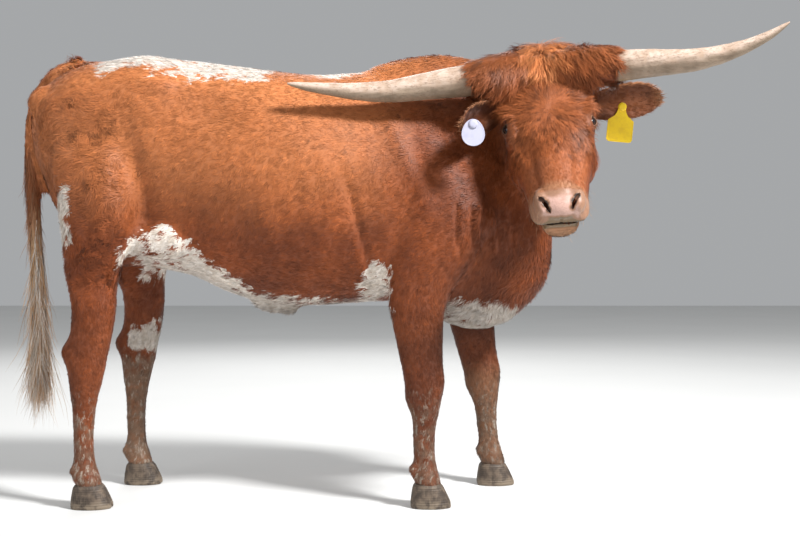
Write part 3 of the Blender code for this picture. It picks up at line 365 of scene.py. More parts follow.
def swung(lie, normals, turn):
    """Directions turned on the skin, each by its own angle."""
    return lie * np.cos(turn)[:, None] + np.cross(normals, lie) * np.sin(turn)[:, None]


def in_head(points):
    """Points in the head's own frame."""
    back = np.array(HEAD.inverted())
    return points @ back[:3, :3].T + back[:3, 3]


def spot_reach(u, v, w, spots):
    """How far each point of the head is from the nearest spot on its side, in sizes of that spot."""
    rows = [np.linalg.norm(stacked(u - a, np.abs(v) - b, w - c), axis=1) / size for a, b, c, size in spots]
    return np.min(rows, axis=0)


def tree_of(spots):
    """Spots sorted so that the nearest is found quickly."""
    tree = KDTree(len(spots))
    for i, spot in enumerate(spots):
        tree.insert(spot, i)
    tree.balance()
    return tree


# Shaping tools


def smooth_rows(rows, count):
    """Rows of numbers read at count even steps along a smooth curve through them."""
    rows = np.array(rows, float)
    last = len(rows) - 1
    ends = np.vstack([2 * rows[0] - rows[1], rows, 2 * rows[-1] - rows[-2]])
    place = np.linspace(0, last, count)
    start = np.minimum(place.astype(int), last - 1)
    f = (place - start)[:, None]
    a, b, c, d = (ends[start + k] for k in range(4))
    return 0.5 * (2 * b + (c - a) * f + (2 * a - 5 * b + 4 * c - d) * f**2 + (3 * b - a - 3 * c + d) * f**3)


def mirrored(rows):
    """The same sections on the other side, from the last to the first."""
    return [(row[0], -row[1], *row[2:]) for row in rows[::-1]]


def round_turn(corners):
    """Angles evenly round a turn."""
    return np.arange(corners) * 2 * math.pi / corners


def section(half_width, rise, drop, top_power, bottom_power, corners):
    """Sideways and upward reach of a closed section, rounder or squarer above and below."""
    c, s = np.cos(round_turn(corners)), np.sin(round_turn(corners))
    power = np.where(s >= 0, top_power, bottom_power)
    across = half_width * np.sign(c) * np.abs(c) ** (2 / power)
    upward = np.where(s >= 0, rise, drop) * np.sign(s) * np.abs(s) ** (2 / power)
    return across, upward


def form_of(name, bm):
    """An object that isn't yet in the scene, from a bmesh."""
    mesh = bpy.data.meshes.new(name)
    bm.to_mesh(mesh)
    bm.free()
    return bpy.data.objects.new(name, mesh)


def skin_over(name, rings):
    """A closed skin over a row of rings: a grid bent round them, its seam merged and its ends filled."""
    count, corners = rings.shape[:2]
    bm = bmesh.new()
    bmesh.ops.create_grid(bm, x_segments=corners, y_segments=count - 1, size=1)
    for vert, place in zip(bm.verts, np.concatenate([rings, rings[:, :1]], axis=1).reshape(-1, 3)):
        vert.co = place
    bmesh.ops.remove_doubles(bm, verts=bm.verts, dist=1e-6)
    bmesh.ops.holes_fill(bm, edges=[edge for edge in bm.edges if edge.is_boundary], sides=0)
    bmesh.ops.recalc_face_normals(bm, faces=bm.faces)
    return form_of(name, bm)


def upright(tangents):
    """Sections that stand upright along a path."""
    side = lengthwise(np.cross(np.array([0, 0, 1.0]), tangents))
    return side, np.cross(tangents, side)


def hinged(tangents):
    """Sections that turn about the animal's own cross axis."""
    side = lengthwise(np.array([0, 1.0, 0]) - tangents * tangents[:, 1:2])
    return side, np.cross(tangents, side)


def fixed(side, up):
    """Sections that all lie the same way."""
    return lambda tangents: [np.tile(np.array(way, float), (len(tangents), 1)) for way in (side, up)]


ACROSS_BODY = fixed((0, 1, 0), (0, 0, 1))
ACROSS_LEG = fixed((0, 1, 0), (1, 0, 0))
ACROSS_HORN = fixed((1, 0, 0), (0, 0, 1))


def loft(name, rows, count, corners, frames):
    """A form along a path of sections."""
    rows = smooth_rows(rows, count)
    sides, ups = frames(lengthwise(np.gradient(rows[:, :3], axis=0)))
    rings = []
    for row, side, up in zip(rows, sides, ups):
        across, upward = section(*np.maximum(row[3:], 0.001), corners)
        rings.append(row[:3] + across[:, None] * side + upward[:, None] * up)
    return skin_over(name, np.array(rings))


def ball(name, centre, radii, segments=32):
    """A rounded form with its own reach along each axis."""
    bm = bmesh.new()
    bmesh.ops.create_uvsphere(bm, u_segments=segments, v_segments=segments // 2, radius=1)
    bm.transform(Matrix.Translation(centre) @ Matrix.Diagonal((*radii, 1)))
    return form_of(name, bm)


def in_frame(obj, place):
    obj.data.transform(place)
    return obj


def named(obj, name):
    obj.name = obj.data.name = name
    return obj


def side_name(side):
    return "left" if side > 0 else "right"


def link(obj):
    if obj.name not in bpy.context.scene.collection.objects:
        bpy.context.scene.collection.objects.link(obj)
    return obj


def applied(obj):
    """Puts an object's modifiers into its mesh."""
    link(obj)
    bpy.context.view_layer.update()
    graph = bpy.context.evaluated_depsgraph_get()
    mesh = bpy.data.meshes.new_from_object(obj.evaluated_get(graph))
    obj.modifiers.clear()
    obj.data = mesh
    return obj


def together(pieces):
    """Several forms in one loose bmesh."""
    bm = bmesh.new()
    for piece in pieces:
        bm.from_mesh(piece.data)
    return bm


def blended(name, pieces, voxel, rounds):
    """One smooth skin over overlapping forms, which are used up."""
    obj = form_of(name, together(pieces))
    for piece in pieces:
        bpy.data.objects.remove(piece)
    remesh = obj.modifiers.new("Blend", "REMESH")
    remesh.mode = "VOXEL"
    remesh.voxel_size = voxel
    smooth = obj.modifiers.new("Soften", "SMOOTH")
    smooth.factor = 0.5
    smooth.iterations = rounds
    return applied(obj)


def boolean(obj, others, operation):
    """Joins other closed forms to an object, or cuts them from it, and removes them."""
    used = bpy.data.collections.new("used_once")
    bpy.context.scene.collection.children.link(used)
    for other in others:
        used.objects.link(other)
    change = obj.modifiers.new("Change", "BOOLEAN")
    change.operation = operation
    change.solver = "MANIFOLD"
    change.operand_type = "COLLECTION"
    change.collection = used
    applied(obj)
    for other in others:
        bpy.data.objects.remove(other)
    bpy.data.collections.remove(used)


def keep_largest(obj):
    """Drops loose scraps, so that one closed surface is left."""
    bm = bmesh.new()
    bm.from_mesh(obj.data)
    bm.verts.ensure_lookup_table()
    seen, groups = set(), []
    for start in bm.verts:
        if start.index in seen:
            continue
        seen.add(start.index)
        group, front = [start], [start]
        while front:
            front = [edge.other_vert(vert) for vert in front for edge in vert.link_edges]
            front = [vert for vert in {v.index: v for v in front}.values() if vert.index not in seen]
            seen.update(vert.index for vert in front)
            group += front
        groups.append(group)
    groups.sort(key=len)
    bmesh.ops.delete(bm, geom=[vert for group in groups[:-1] for vert in group], context="VERTS")
    bm.to_mesh(obj.data)
    bm.free()


def read(items, field, width, kind=float):
    """One field of all points, edges or triangles of a mesh, in rows."""
    found = np.empty(len(items) * width, kind)
    items.foreach_get(field, found)
    return found.reshape(-1, width)


def places_of(obj):
    return read(obj.data.vertices, "co", 3)


def normals_of(obj):
    return read(obj.data.vertex_normals, "vector", 3)


def put_places(obj, places):
    obj.data.vertices.foreach_set("co", np.ascontiguousarray(places, dtype=np.float32).ravel())
    obj.data.update()


def grown(obj, by):
    """Moves a form's skin out, or in where by is below 0."""
    put_places(obj, places_of(obj) + normals_of(obj) * by[:, None])


def relaxed(obj, weight, rounds):
    """Evens out the skin where weight is above 0."""
    places, edges = places_of(obj), read(obj.data.edges, "vertices", 2, np.int32)
    count = np.bincount(edges.ravel(), minlength=len(places))[:, None]
    for _ in range(rounds):
        total = np.zeros_like(places)
        for a, b in ((0, 1), (1, 0)):
            for k in range(3):
                total[:, k] += np.bincount(edges[:, a], places[edges[:, b], k], minlength=len(places))
        places += (total / np.maximum(count, 1) - places) * weight[:, None]
    put_places(obj, places)


def values(obj, name, array):
    """Stores a number or a vector for each point of a piece."""
    kind, field = ("FLOAT", "value") if np.ndim(array) == 1 else ("FLOAT_VECTOR", "vector")
    layer = obj.data.attributes.new(name, kind, "POINT")
    layer.data.foreach_set(field, np.ascontiguousarray(array, dtype=np.float32).ravel())


# The skin


def leg_form(rows, foot, side, lean):
    full = [
        (foot + x - lean * max(0.0, z - 0.1), side * y, z, width, fore, aft, 2.1, 2.1)
        for z, x, fore, aft, width, y in rows
    ]
    return loft("leg", full, 100, 28, ACROSS_LEG)


def body_forms():
    """Barrel, brisket, neck, rump, tail and legs."""
    forms = [
        loft("barrel", BARREL, 90, 48, ACROSS_BODY),
        loft("brisket", BRISKET, 40, 32, ACROSS_BODY),
        loft("neck", NECK, 60, 40, upright),
        loft("tail", TAIL, 60, 20, hinged),
        ball("sheath", (-0.345, 0, 0.553), (0.075, 0.028, 0.038)),
        ball("navel", (-0.315, 0, 0.532), (0.030, 0.020, 0.022)),
        ball("tail_head", (-0.935, 0, 1.185), (0.085, 0.060, 0.048)),
    ]
    for side, front, hind, lean in (
        (-1, FRONT_RIGHT_FOOT, HIND_RIGHT_FOOT, 0.0),
        (1, FRONT_LEFT_FOOT, HIND_LEFT_FOOT, 0.10),
    ):
        forms += [
            leg_form(FRONT_LEG, front, side, lean),
            leg_form(HIND_LEG, hind, side, 0.0),
            ball("hook_bone", (-0.675, side * 0.140, 1.128), (0.120, 0.066, 0.066)),
            ball("pin_bone", (-0.985, side * 0.085, 1.110), (0.055, 0.045, 0.055)),
            ball("flank_fold", (-0.650, side * 0.135, 0.735), (0.110, 0.048, 0.070)),
        ]
        for foot, spread in ((front, LEG_SPREAD_FRONT), (hind, LEG_SPREAD_HIND)):
            for off in (-0.020, 0.020):
                place = (foot - 0.036, side * spread + off, 0.100)
                forms.append(ball("dewclaw", place, (0.015, 0.013, 0.018)))
    return forms


def horn_crest():
    """The ridge of the poll and the hairy skin over the roots of the horns."""
    half = [
        (0.026, 0.190, -0.003, 0.0485, 0.0485, 0.0485, 2.0, 2.0),
        (0.021, 0.168, -0.002, 0.052, 0.052, 0.052, 2.0, 2.0),
        (0.012, 0.130, -0.002, 0.059, 0.059, 0.059, 2.0, 2.0),
        (-0.006, 0.080, -0.005, 0.062, 0.064, 0.068, 2.0, 2.0),
        (-0.020, 0.030, -0.006, 0.056, 0.062, 0.070, 2.0, 2.0),
    ]
    return in_frame(loft("crest", half + mirrored(half), 40, 28, ACROSS_HORN), HORNS)


def head_forms():
    """Skull, nose, jaw and the rounded forms on them, with the crest of the poll."""
    forms = [
        loft("skull", SKULL, 60, 40, ACROSS_BODY),
        loft("nose", NOSE, 50, 32, ACROSS_BODY),
        loft("jaw", JAW, 40, 28, ACROSS_BODY),
        ball("pad", (0.455, 0, -0.067), (0.043, 0.066, 0.037)),
        ball("poll_pad", (-0.032, 0, -0.024), (0.054, 0.125, 0.054)),
    ]
    for side in (-1, 1):
        for name, (place, radii) in HEAD_BALLS.items():
            forms.append(ball(name, (place[0], side * place[1], place[2]), radii))
    return [in_frame(form, HEAD) for form in forms] + [horn_crest()]


def ear_form(which):
    """A cupped leaf: its back and the inside of its cup, ring by ring."""
    root, along, face, width = (np.array(v) for v in ear_axes(which))
    rings = []
    across = np.linspace(-1, 1, 25)
    bowl = 1 - across**2
    for share, half, depth, thick in smooth_rows(EAR, 50):
        middle = root + along * share
        half, depth, thick = max(half, 0.004), max(depth, 0.0), max(thick, 0.003)
        back = middle + np.outer(across * half, width) - np.outer(depth * bowl + 0.001, face)
        inner = across[::-1][1:-1]
        lift = depth * bowl[::-1][1:-1] - thick * bowl[::-1][1:-1] ** 0.5
        cup = middle + np.outer(inner * half * 0.94, width) - np.outer(lift, face)
        rings.append(np.concatenate([back, cup]))
    return skin_over("ear", np.array(rings))


def lid_opening(side):
    """An almond prism, the space between the lids."""
    c, s = np.cos(round_turn(48)), np.sin(round_turn(48))
    rings = []
    for height, size in ((0.004, 0.90), (0.040, 1.12)):
        x = 0.0174 * size * np.sign(c) * np.abs(c) ** 0.9
        y = 0.0104 * size * s * np.abs(s) ** 0.30
        rings.append(stacked(x, y, height))
    return in_frame(skin_over("opening", np.array(rings)), eye_frame(side))


def round_eye(name, side, room):
    """A ball round an eye, larger than it by some room."""
    return ball(name, eye_frame(side).to_translation(), (EYE_RADIUS + room,) * 3, 64)


def nostril(side):
    """A slanting, comma-shaped hollow, open to the front and side, one section shorter on the left."""
    rows = [
        (0.487, side * 0.0240, -0.057, 0.0028, 0.0028, 0.0028, 2, 2),
        (0.480, side * 0.0290, -0.050, 0.0078, 0.0074, 0.0074, 2, 2),
        (0.469, side * 0.0365, -0.043, 0.0102, 0.0092, 0.0092, 2, 2),
        (0.458, side * 0.0450, -0.038, 0.0080, 0.0070, 0.0070, 2, 2),
        (0.450, side * 0.0530, -0.037, 0.0034, 0.0030, 0.0030, 2, 2),
    ][side > 0 :]
    depth = ball("depth", (0.458, side * 0.034, -0.056), (0.019, 0.0078, 0.011))
    return [in_frame(form, HEAD) for form in (loft("nostril", rows, 24, 24, ACROSS_HORN), depth)]


def mouth_line():
    """The thin space between the lips, round the muzzle."""
    half = [
        (0.345, 0.074, -0.118, 0.016, 0.0010, 0.0010, 2, 2),
        (0.400, 0.070, -0.112, 0.016, 0.0016, 0.0016, 2, 2),
        (0.448, 0.060, -0.106, 0.016, 0.0026, 0.0026, 2, 2),
        (0.476, 0.036, -0.102, 0.016, 0.0046, 0.0046, 2, 2),
        (0.486, 0.000, -0.100, 0.016, 0.0022, 0.0022, 2, 2),
    ]
    rows = mirrored(half[3::-1]) + half[::-1]
    return in_frame(loft("mouth_line", rows, 80, 12, upright), HEAD)


def folds(points):
    """How far muscle, ribs and folds lift the skin at each point of the body."""
    x, y, z = points.T
    out = np.abs(y)
    lift = np.zeros(len(points))
    ribs = within(1, (x, -0.44, -0.34), (x, 0.02, -0.08), (z, 0.58, 0.68), (z, 1.05, 0.90))
    lift += ribs * 0.0005 * np.sin((x + 0.22 * (z - 0.8)) * 2 * math.pi / 0.062)
    bent = x + 0.10 * (z - 0.9) + 0.012 * np.sin(z * 19)
    wrinkles = within(1, (y, 0.02, -0.06), (x, 0.13, 0.19), (x, 0.36, 0.31), (z, 0.66, 0.76), (z, 1.10, 0.98))
    waves = 0.0055 * np.sin(bent * 2 * math.pi / 0.040) + 0.003 * np.sin(bent * 2 * math.pi / 0.023 + 1)
    lift += wrinkles * waves
    flank_hollow = dome((x, -0.50, 0.085), (z, 1.065, 0.055))
    lift -= 0.016 * within(flank_hollow, (out, 0.10, 0.16))
    blade = 0.004 * dome(((x - 0.02) * 0.93 + (z - 0.95) * 0.36, 0, 0.022))
    lift += within(blade, (z, 0.72, 0.85), (z, 1.16, 1.05), (out, 0.12, 0.17))
    upper_arm = dome((x, 0.045, 0.06), (z, 0.80, 0.10))
    lift += 0.007 * within(upper_arm, (out, 0.13, 0.18))
    elbow_crease = dome(((x + 0.105) + 0.25 * (z - 0.75), 0, 0.014))
    lift -= 0.008 * within(elbow_crease, (z, 0.60, 0.68), (z, 0.95, 0.82), (out, 0.10, 0.16))
    thigh_crease = dome((x + 0.700 + 0.16 * (z - 0.8), 0, 0.034))
    lift -= 0.011 * within(thigh_crease, (z, 0.70, 0.80), (z, 1.12, 0.98), (out, 0.10, 0.15))
    ham = dome((x, -0.800, 0.055), (z, 0.86, 0.13))
    lift += 0.008 * within(ham, (out, 0.10, 0.15))
    lift += within(0.0035 * rough(points, 11, 3), (z, 0.5, 0.6))
    tendon = within(dome((out, 0.168, 0.006)), (z, 0.32, 0.27), (z, 0.11, 0.14))
    lift += ramp(0.56, 0.48, z) * (0.0015 * rough(points, 40, 4) - 0.002 * tendon)
    return lift


def face_folds(points):
    """How far bone, veins and folds lift the skin at each point of the head."""
    u, v, w = in_head(points).T
    side = np.abs(v)
    lift = np.zeros(len(points))
    around = np.hypot((u - 0.190) / 1.25, (side - 0.100))
    for radius, width, height in ((0.030, 0.0030, -0.0022), (0.038, 0.0030, 0.0014), (0.046, 0.0028, -0.0012)):
        ring = height * dome((around, radius, width))
        lift += within(ring, (u, 0.205, 0.185), (side, 0.045, 0.06))
    tear_line = dome((side - 0.086 + (u - 0.225) * 0.22, 0, 0.006))
    lift -= 0.0028 * within(tear_line, (u, 0.215, 0.225), (u, 0.30, 0.25), (w, -0.11, -0.09))
    lift += 0.0035 * dome((side - 0.083 + (u - 0.27) * 0.08, 0, 0.012), (u, 0.27, 0.055))
    lift -= 0.0008 * within(dome((side, 0.062, 0.016), (u, 0.285, 0.060)), (w, -0.12, -0.08))
    lines = np.sin(v * 2 * math.pi / 0.011 + 2 * np.sin(w * 90))
    lines = within(lines, (w, -0.055, -0.070), (w, -0.108, -0.095))
    lift += ramp(0.385, 0.41, u) * 0.0005 * lines
    lift -= within(0.0030 * dome((w, -0.129, 0.0035)), (u, 0.42, 0.45), (side, 0.045, 0.030))
    cleft = within(dome((v, 0, 0.0035)), (u, 0.465, 0.48), (w, -0.106, -0.094), (w, -0.052, -0.066))
    lift -= 0.0030 * cleft
    lift += 0.0012 * rough(points, 45, 8) + 0.0022 * rough(points, 18, 9)
    return lift


def horn_reach(obj):
    """How far each point is from the head's middle along the horns."""
    return np.abs(places_of(obj) @ np.array(HORNS.to_3x3())[:, 1] - HORN_CENTRE @ HORNS.to_3x3().col[1])


def whole_skin():
    """Body, head, ears and lids in one closed skin, with the eyes' openings, nostrils and mouth."""
    body = blended("body", body_forms(), 0.0108, 5)
    places = places_of(body)
    grown(body, folds(places) - COAT_LEG - (COAT_BODY - COAT_LEG) * ramp(0.42, 0.60, places[:, 2]))
    head = blended("head", head_forms(), 0.0038, 8)
    grown(head, face_folds(places_of(head)) - COAT_FACE * ramp(0.19, 0.12, horn_reach(head)))
    lids = [round_eye("lid", side, LID_THICKNESS) for side in (-1, 1)]
    joined = [head] + lids + [ear_form(which) for which in EARS]
    bm = together(joined)
    near_head = BVHTree.FromBMesh(bm)
    bm.free()
    bpy.context.scene.collection.objects.unlink(head)
    boolean(body, joined, "UNION")
    soften_joints(body)
    cuts = [mouth_line()]
    for side in (-1, 1):
        cuts += [lid_opening(side), round_eye("eye_space", side, 0.0004), *nostril(side)]
    boolean(body, cuts, "DIFFERENCE")
    keep_largest(body)
    rims = (0.482, 0.029, -0.050, 1), (0.469, 0.038, -0.041, 1), (0.456, 0.048, -0.036, 1)
    relaxed(body, 0.5 * ramp(0.016, 0.012, spot_reach(*in_head(places_of(body)).T, rims)), 5)
    body.data.shade_smooth()
    return named(body, "skin"), near_head


def soften_joints(obj):
    """Rounds the crease where two forms were joined, more on the neck than round the ears and lids."""
    bm = bmesh.new()
    bm.from_mesh(obj.data)
    creased = [edge for edge in bm.edges if edge.is_manifold and edge.calc_face_angle(0) > 0.45]
    tree = tree_of([(edge.verts[0].co + edge.verts[1].co) / 2 for edge in creased])
    bm.free()
    places = places_of(obj)
    weight = np.zeros(len(places))
    head = in_head(places)
    near = (places[:, 0] > 0.15) & (places[:, 2] > 0.75) & (head[:, 0] <= 0.32)
    eye = spot_reach(*head.T, [(*EYE_AT, 1)])
    for i in np.nonzero(near)[0]:
        throat = head[i, 2] < -0.11 and head[i, 0] < 0.30
        width = 0.010 if eye[i] < 0.045 else 0.020 if throat else 0.008
        weight[i] = 0.5 * ramp(width, 0.0, tree.find(places[i])[2])
    relaxed(obj, weight, 24)


def unwrapped(obj):
    """Lays the skin's own shape out flat for its colours."""
    for other in bpy.context.selected_objects:
        other.select_set(False)
    bpy.context.view_layer.objects.active = obj
    obj.select_set(True)
    obj.data.uv_layers.new(name="OFBake")
    bpy.ops.object.mode_set(mode="EDIT")
    bpy.ops.mesh.select_all(action="SELECT")
    bpy.ops.uv.smart_project(angle_limit=math.radians(72), island_margin=0.002, area_weight=0.0)
    bpy.ops.object.mode_set(mode="OBJECT")
    obj.select_set(False)


# Horns, claws, eyes and tags


def horn_form(side):
    """A horn with its grain, its ripples near the root and its worn knocks."""
    rows = [
        (ahead, left if side > 0 else -right, up_left if side > 0 else up_right, *[radius] * 3, 2.0, 2.0)
        for left, right, ahead, up_left, up_right, radius in HORN
    ]
    horn = loft("horn", rows, 220, 64, ACROSS_HORN)
    places = places_of(horn)
    reach = np.abs(places[:, 1])
    root = ramp(0.36, 0.14, reach)
    thin = ramp(0.62, 0.45, reach)
    lift = thin * 0.0016 * rough(places * (1, 0.08, 1), 160, side + 5)
    ripples = np.sin(reach * 2 * math.pi / 0.0165 + 5 * noise(places, 26, 3))
    lift += root * 0.0007 * ripples * noise(places, 35, 5)
    lift += thin * 0.0012 * rough(places, 60, 6) - 0.0006
    grown(horn, lift)
    horn.data.shade_smooth()
    in_frame(horn, HORNS)
    values(horn, "reach", (horn_reach(horn) - 0.19) / 0.46)
    values(horn, "upward", normals_of(horn)[:, 2])
    return named(horn, side_name(side) + "_horn")


def claw_form(name, foot, middle, side):
    """One claw: flat below, pointed at the toe, its wall ringed by its growth."""
    rows = [
        (0.0000, 0.014, 0.0535, 0.0330, 0.0080),
        (0.0030, 0.014, 0.0555, 0.0342, 0.0085),
        (0.0140, 0.013, 0.0548, 0.0338, 0.0085),
        (0.0380, 0.009, 0.0478, 0.0318, 0.0085),
        (0.0560, 0.006, 0.0410, 0.0300, 0.0085),
        (0.0640, 0.005, 0.0340, 0.0250, 0.0080),
    ]
    rings = []
    for z, forward, half, outer, inner in smooth_rows(rows, 60):
        along, over = section(half, outer, inner, 2.3, 5.0, 72)
        over = np.where(over > 0, over * (1 - 0.28 * np.clip(along / half, 0, 1) ** 2), over)
        places = stacked(foot + forward + along, middle + side * (0.0105 + over), max(z, 0.0))
        growth = math.sin(z * 2 * math.pi / 0.0062 + 1.5) * 0.0005 * ramp(0.004, 0.012, z)
        wear = 0.0008 * rough(places, 90, 2)[:, None] * ramp(0.002, 0.008, z)
        away = places - (foot + forward, middle + side * 0.018, z)
        rings.append(places + away / np.linalg.norm(away, axis=1)[:, None] * (growth + wear - 0.0006))
    claw = skin_over(name, np.array(rings))
    claw.data.shade_smooth()
    return named(claw, name)


def eye_form(side):
    """An eyeball whose clear front bulges a little."""
    bm = bmesh.new()
    bmesh.ops.create_uvsphere(bm, u_segments=64, v_segments=48, radius=EYE_RADIUS - 0.0002)
    for vert in bm.verts:
        if vert.co.z > 0:
            vert.co.z += 0.0011 * float(ramp(0.0125, 0.0, math.hypot(vert.co.x, vert.co.y)))
    eye = form_of("eye", bm)
    values(eye, "disc", places_of(eye))
    eye.data.shade_smooth()
    return named(in_frame(eye, eye_frame(side)), side_name(side) + "_eye")


def pin_frame(which):
    """A tag's frame, Z out of its face and Y up, with its pin at the middle, and the ear's depth there."""
    root, along, _, width = ear_axes(which)
    (share, off), facing, _ = TAGS[which]
    shares, halves, depths = np.array(CAD_EAR).T
    half = np.interp(share, shares, halves)
    depth = np.interp(share, shares, depths) * (1 - off**2)
    out = Vector(facing).normalized()
    across = Vector((0, 0, 1)).cross(out).normalized()
    place = root + along * share + width * float(half) * off
    return axes_frame(place, across, out.cross(across), out), float(depth)


def left_plate():
    """A plate with rounded corners below a tapering neck, hung a little askew."""
    half, low, shoulder, tilt = 0.036, -0.096, -0.034, math.radians(-5)
    top = [(-0.009, 0.007), (-0.006, 0.0098), (0.0, 0.011), (0.006, 0.0098), (0.009, 0.007)]
    side = [(0.0105, -0.004), (0.0125, -0.014), (0.018, -0.024), (half - 0.005, shoulder)]
    side += [(half - 0.0015, shoulder - 0.0025), (half, shoulder - 0.006)]
    side += [(half, low + 0.008), (half - 0.003, low + 0.002), (half - 0.009, low)]
    points = top + side + [(-x, y) for x, y in reversed(side)]
    c, s = math.cos(tilt), math.sin(tilt)
    return [(x * c - y * s, x * s + y * c) for x, y in reversed(points)]


def right_plate():
    """An egg-shaped plate, narrower above."""
    turn = round_turn(64)
    return [(0.0305 * math.cos(a) * (1 - 0.13 * math.sin(a)), -0.022 + 0.0355 * math.sin(a)) for a in turn]


def tag_form(which, outline):
    """A moulded plate: its outline filled, thickened, bevelled, and inset for a raised rim."""
    bm = bmesh.new()
    face = bm.faces.new([bm.verts.new((x, y, 0)) for x, y in outline])
    bmesh.ops.recalc_face_normals(bm, faces=[face])
    if face.normal.z < 0:
        face.normal_flip()
    raised = bmesh.ops.extrude_face_region(bm, geom=[face])["geom"]
    verts = [item for item in raised if isinstance(item, bmesh.types.BMVert)]
    bmesh.ops.translate(bm, verts=verts, vec=(0, 0, 0.0018))
    bmesh.ops.recalc_face_normals(bm, faces=bm.faces)
    rim = [edge for edge in bm.edges if edge.calc_face_angle(0) > 0.8]
    bmesh.ops.bevel(bm, geom=rim, offset=0.0005, affect="EDGES", segments=2, profile=0.5, material=-1)
    top = max(bm.faces, key=lambda f: f.calc_center_median().z * 1000 + f.calc_area())
    for thickness, depth in ((0.0022, 0.0), (0.0006, -0.0004)):
        bmesh.ops.inset_region(bm, faces=[top], thickness=thickness, depth=depth)
    place = pin_frame(which)[0] @ Matrix.Translation((0, 0, TAGS[which][2]))
    return named(in_frame(form_of("tag", bm), place), "tag_" + which)


def stud_form(which):
    """A button before the tag, its pin through the ear, and a button behind, turned in one piece."""
    place, depth = pin_frame(which)
    front, back = TAGS[which][2] + 0.0021, -1.3 * depth - 0.009
    button = [(0, 0.0040), (0.0035, 0.0044), (0.0075, 0.0040), (0.0105, 0.0030), (0.0118, 0.0014)]
    profile = [(r, front + z) for r, z in button + [(0.0118, 0.0003), (PIN_RADIUS, 0.0002)]]
    behind = [(PIN_RADIUS, 0.0002), (0.0108, 0.0004), (0.0106, 0.0022), (0.0085, 0.0030), (0, 0.0030)]
    profile += [(r, back - z) for r, z in behind]
    bm = bmesh.new()
    verts = [bm.verts.new((r, 0, z)) for r, z in profile]
    geom = verts + [bm.edges.new(pair) for pair in zip(verts, verts[1:])]
    round_pin = {"axis": (0, 0, 1), "cent": (0, 0, 0), "angle": 2 * math.pi, "steps": 48}
    bmesh.ops.spin(bm, geom=geom, use_merge=True, **round_pin)
    bmesh.ops.remove_doubles(bm, verts=bm.verts, dist=1e-5)
    bmesh.ops.recalc_face_normals(bm, faces=bm.faces)
    stud = form_of("stud", bm)
    stud.data.shade_smooth()
    return named(in_frame(stud, place), "tag_button_" + which)


# Materials


class Wire:
    """A socket of a finish that takes part in Python expressions."""

    def __init__(self, finish, socket):
        self.finish, self.socket = finish, socket

    def maths(self, operation, *numbers):
        return self.finish.node("ShaderNodeMath", {"operation": operation}, numbers)

    def __add__(self, other):
        return self.maths("ADD", self, other)

    def __sub__(self, other):
        return self.maths("SUBTRACT", self, other)

    def __rsub__(self, other):
        return self.maths("SUBTRACT", other, self)

    def __mul__(self, other):
        return self.maths("MULTIPLY", self, other)

    def __truediv__(self, other):
        return self.maths("DIVIDE", self, other)

    def __pow__(self, other):
        return self.maths("POWER", self, other)

    __radd__, __rmul__ = __add__, __mul__

    def step(self, low, high):
        """0 below low, 1 above high and smooth between them."""
        smooth = {"interpolation_type": "SMOOTHSTEP"}
        return self.finish.node("ShaderNodeMapRange", smooth, (self, low, high, 0.0, 1.0))

    def parts(self):
        """The three numbers of a vector or colour."""
        return [self.finish.node("ShaderNodeSeparateXYZ", {}, (self,), k) for k in range(3)]


class Finish:
    """A material whose nodes are written as expressions."""

    def __init__(self, name, **constants):
        self.material = bpy.data.materials.new(name)
        self.material.use_nodes = True
        self.tree = self.material.node_tree
        self.shader = self.tree.nodes["Principled BSDF"]
        for socket, value in constants.items():
            self.shader.inputs[socket.replace("_", " ")].default_value = value

    def node(self, kind, settings, inputs=(), output=0):
        """Any node: its settings first, then the values or links of its sockets."""
        node = self.tree.nodes.new(kind)
        for name, value in settings.items():
            setattr(node, name, value)
        for key, value in inputs.items() if isinstance(inputs, dict) else enumerate(inputs):
            socket = node.inputs[key]
            if isinstance(value, Wire):
                self.tree.links.new(value.socket, socket)
            elif value is not None:
                socket.default_value = (*value, 1.0) if socket.type == "RGBA" else value
        return Wire(self, node.outputs[output])

    def stored(self, name, output="Vector"):
        return self.node("ShaderNodeAttribute", {"attribute_name": name}, (), output)

    def place(self, scale=(1.0, 1.0, 1.0), turn=(0.0, 0.0, 0.0), here=None):
        """Where a point lies on the piece, in metres, turned and stretched."""
        here = here or self.node("ShaderNodeTexCoord", {}, (), "Object")
        return self.node("ShaderNodeMapping", {}, (here, None, turn, scale))

    def noise(self, where, scale, detail=3.0, rough=0.5):
        inputs = {"Vector": where, "Scale": scale, "Detail": detail, "Roughness": rough}
        return self.node("ShaderNodeTexNoise", {}, inputs)

    def mix(self, factor, first, second, blend="MIX"):
        settings = {"data_type": "RGBA", "blend_type": blend}
        return self.node("ShaderNodeMix", settings, {0: factor, 6: first, 7: second}, 2)

    def coats(self, colour, *coats):
        """A colour under further paint, each coat where its mask is 1."""
        for mask, paint in coats:
            colour = self.mix(mask, colour, paint)
        return colour

    def bump(self, height, distance, strength=1.0):
        return self.node("ShaderNodeBump", {}, {"Strength": strength, "Distance": distance, "Height": height})

    def set(self, **sockets):
        for name, value in sockets.items():
            self.tree.links.new(value.socket, self.shader.inputs[name.replace("_", " ")])
        return self.material


WHITE_HAIR, WHITE_SHADE = (0.80, 0.74, 0.68), (0.58, 0.50, 0.42)
RED_BROWN, DARK_BROWN, HIGHLIGHT_ORANGE_BROWN = (0.285, 0.070, 0.019), (0.150, 0.036, 0.011), (0.52, 0.182, 0.062)
CREAM, NEAR_BLACK = (0.52, 0.33, 0.19), (0.022, 0.009, 0.005)
DUST, FLAKES = (0.235, 0.155, 0.105), (0.43, 0.36, 0.29)


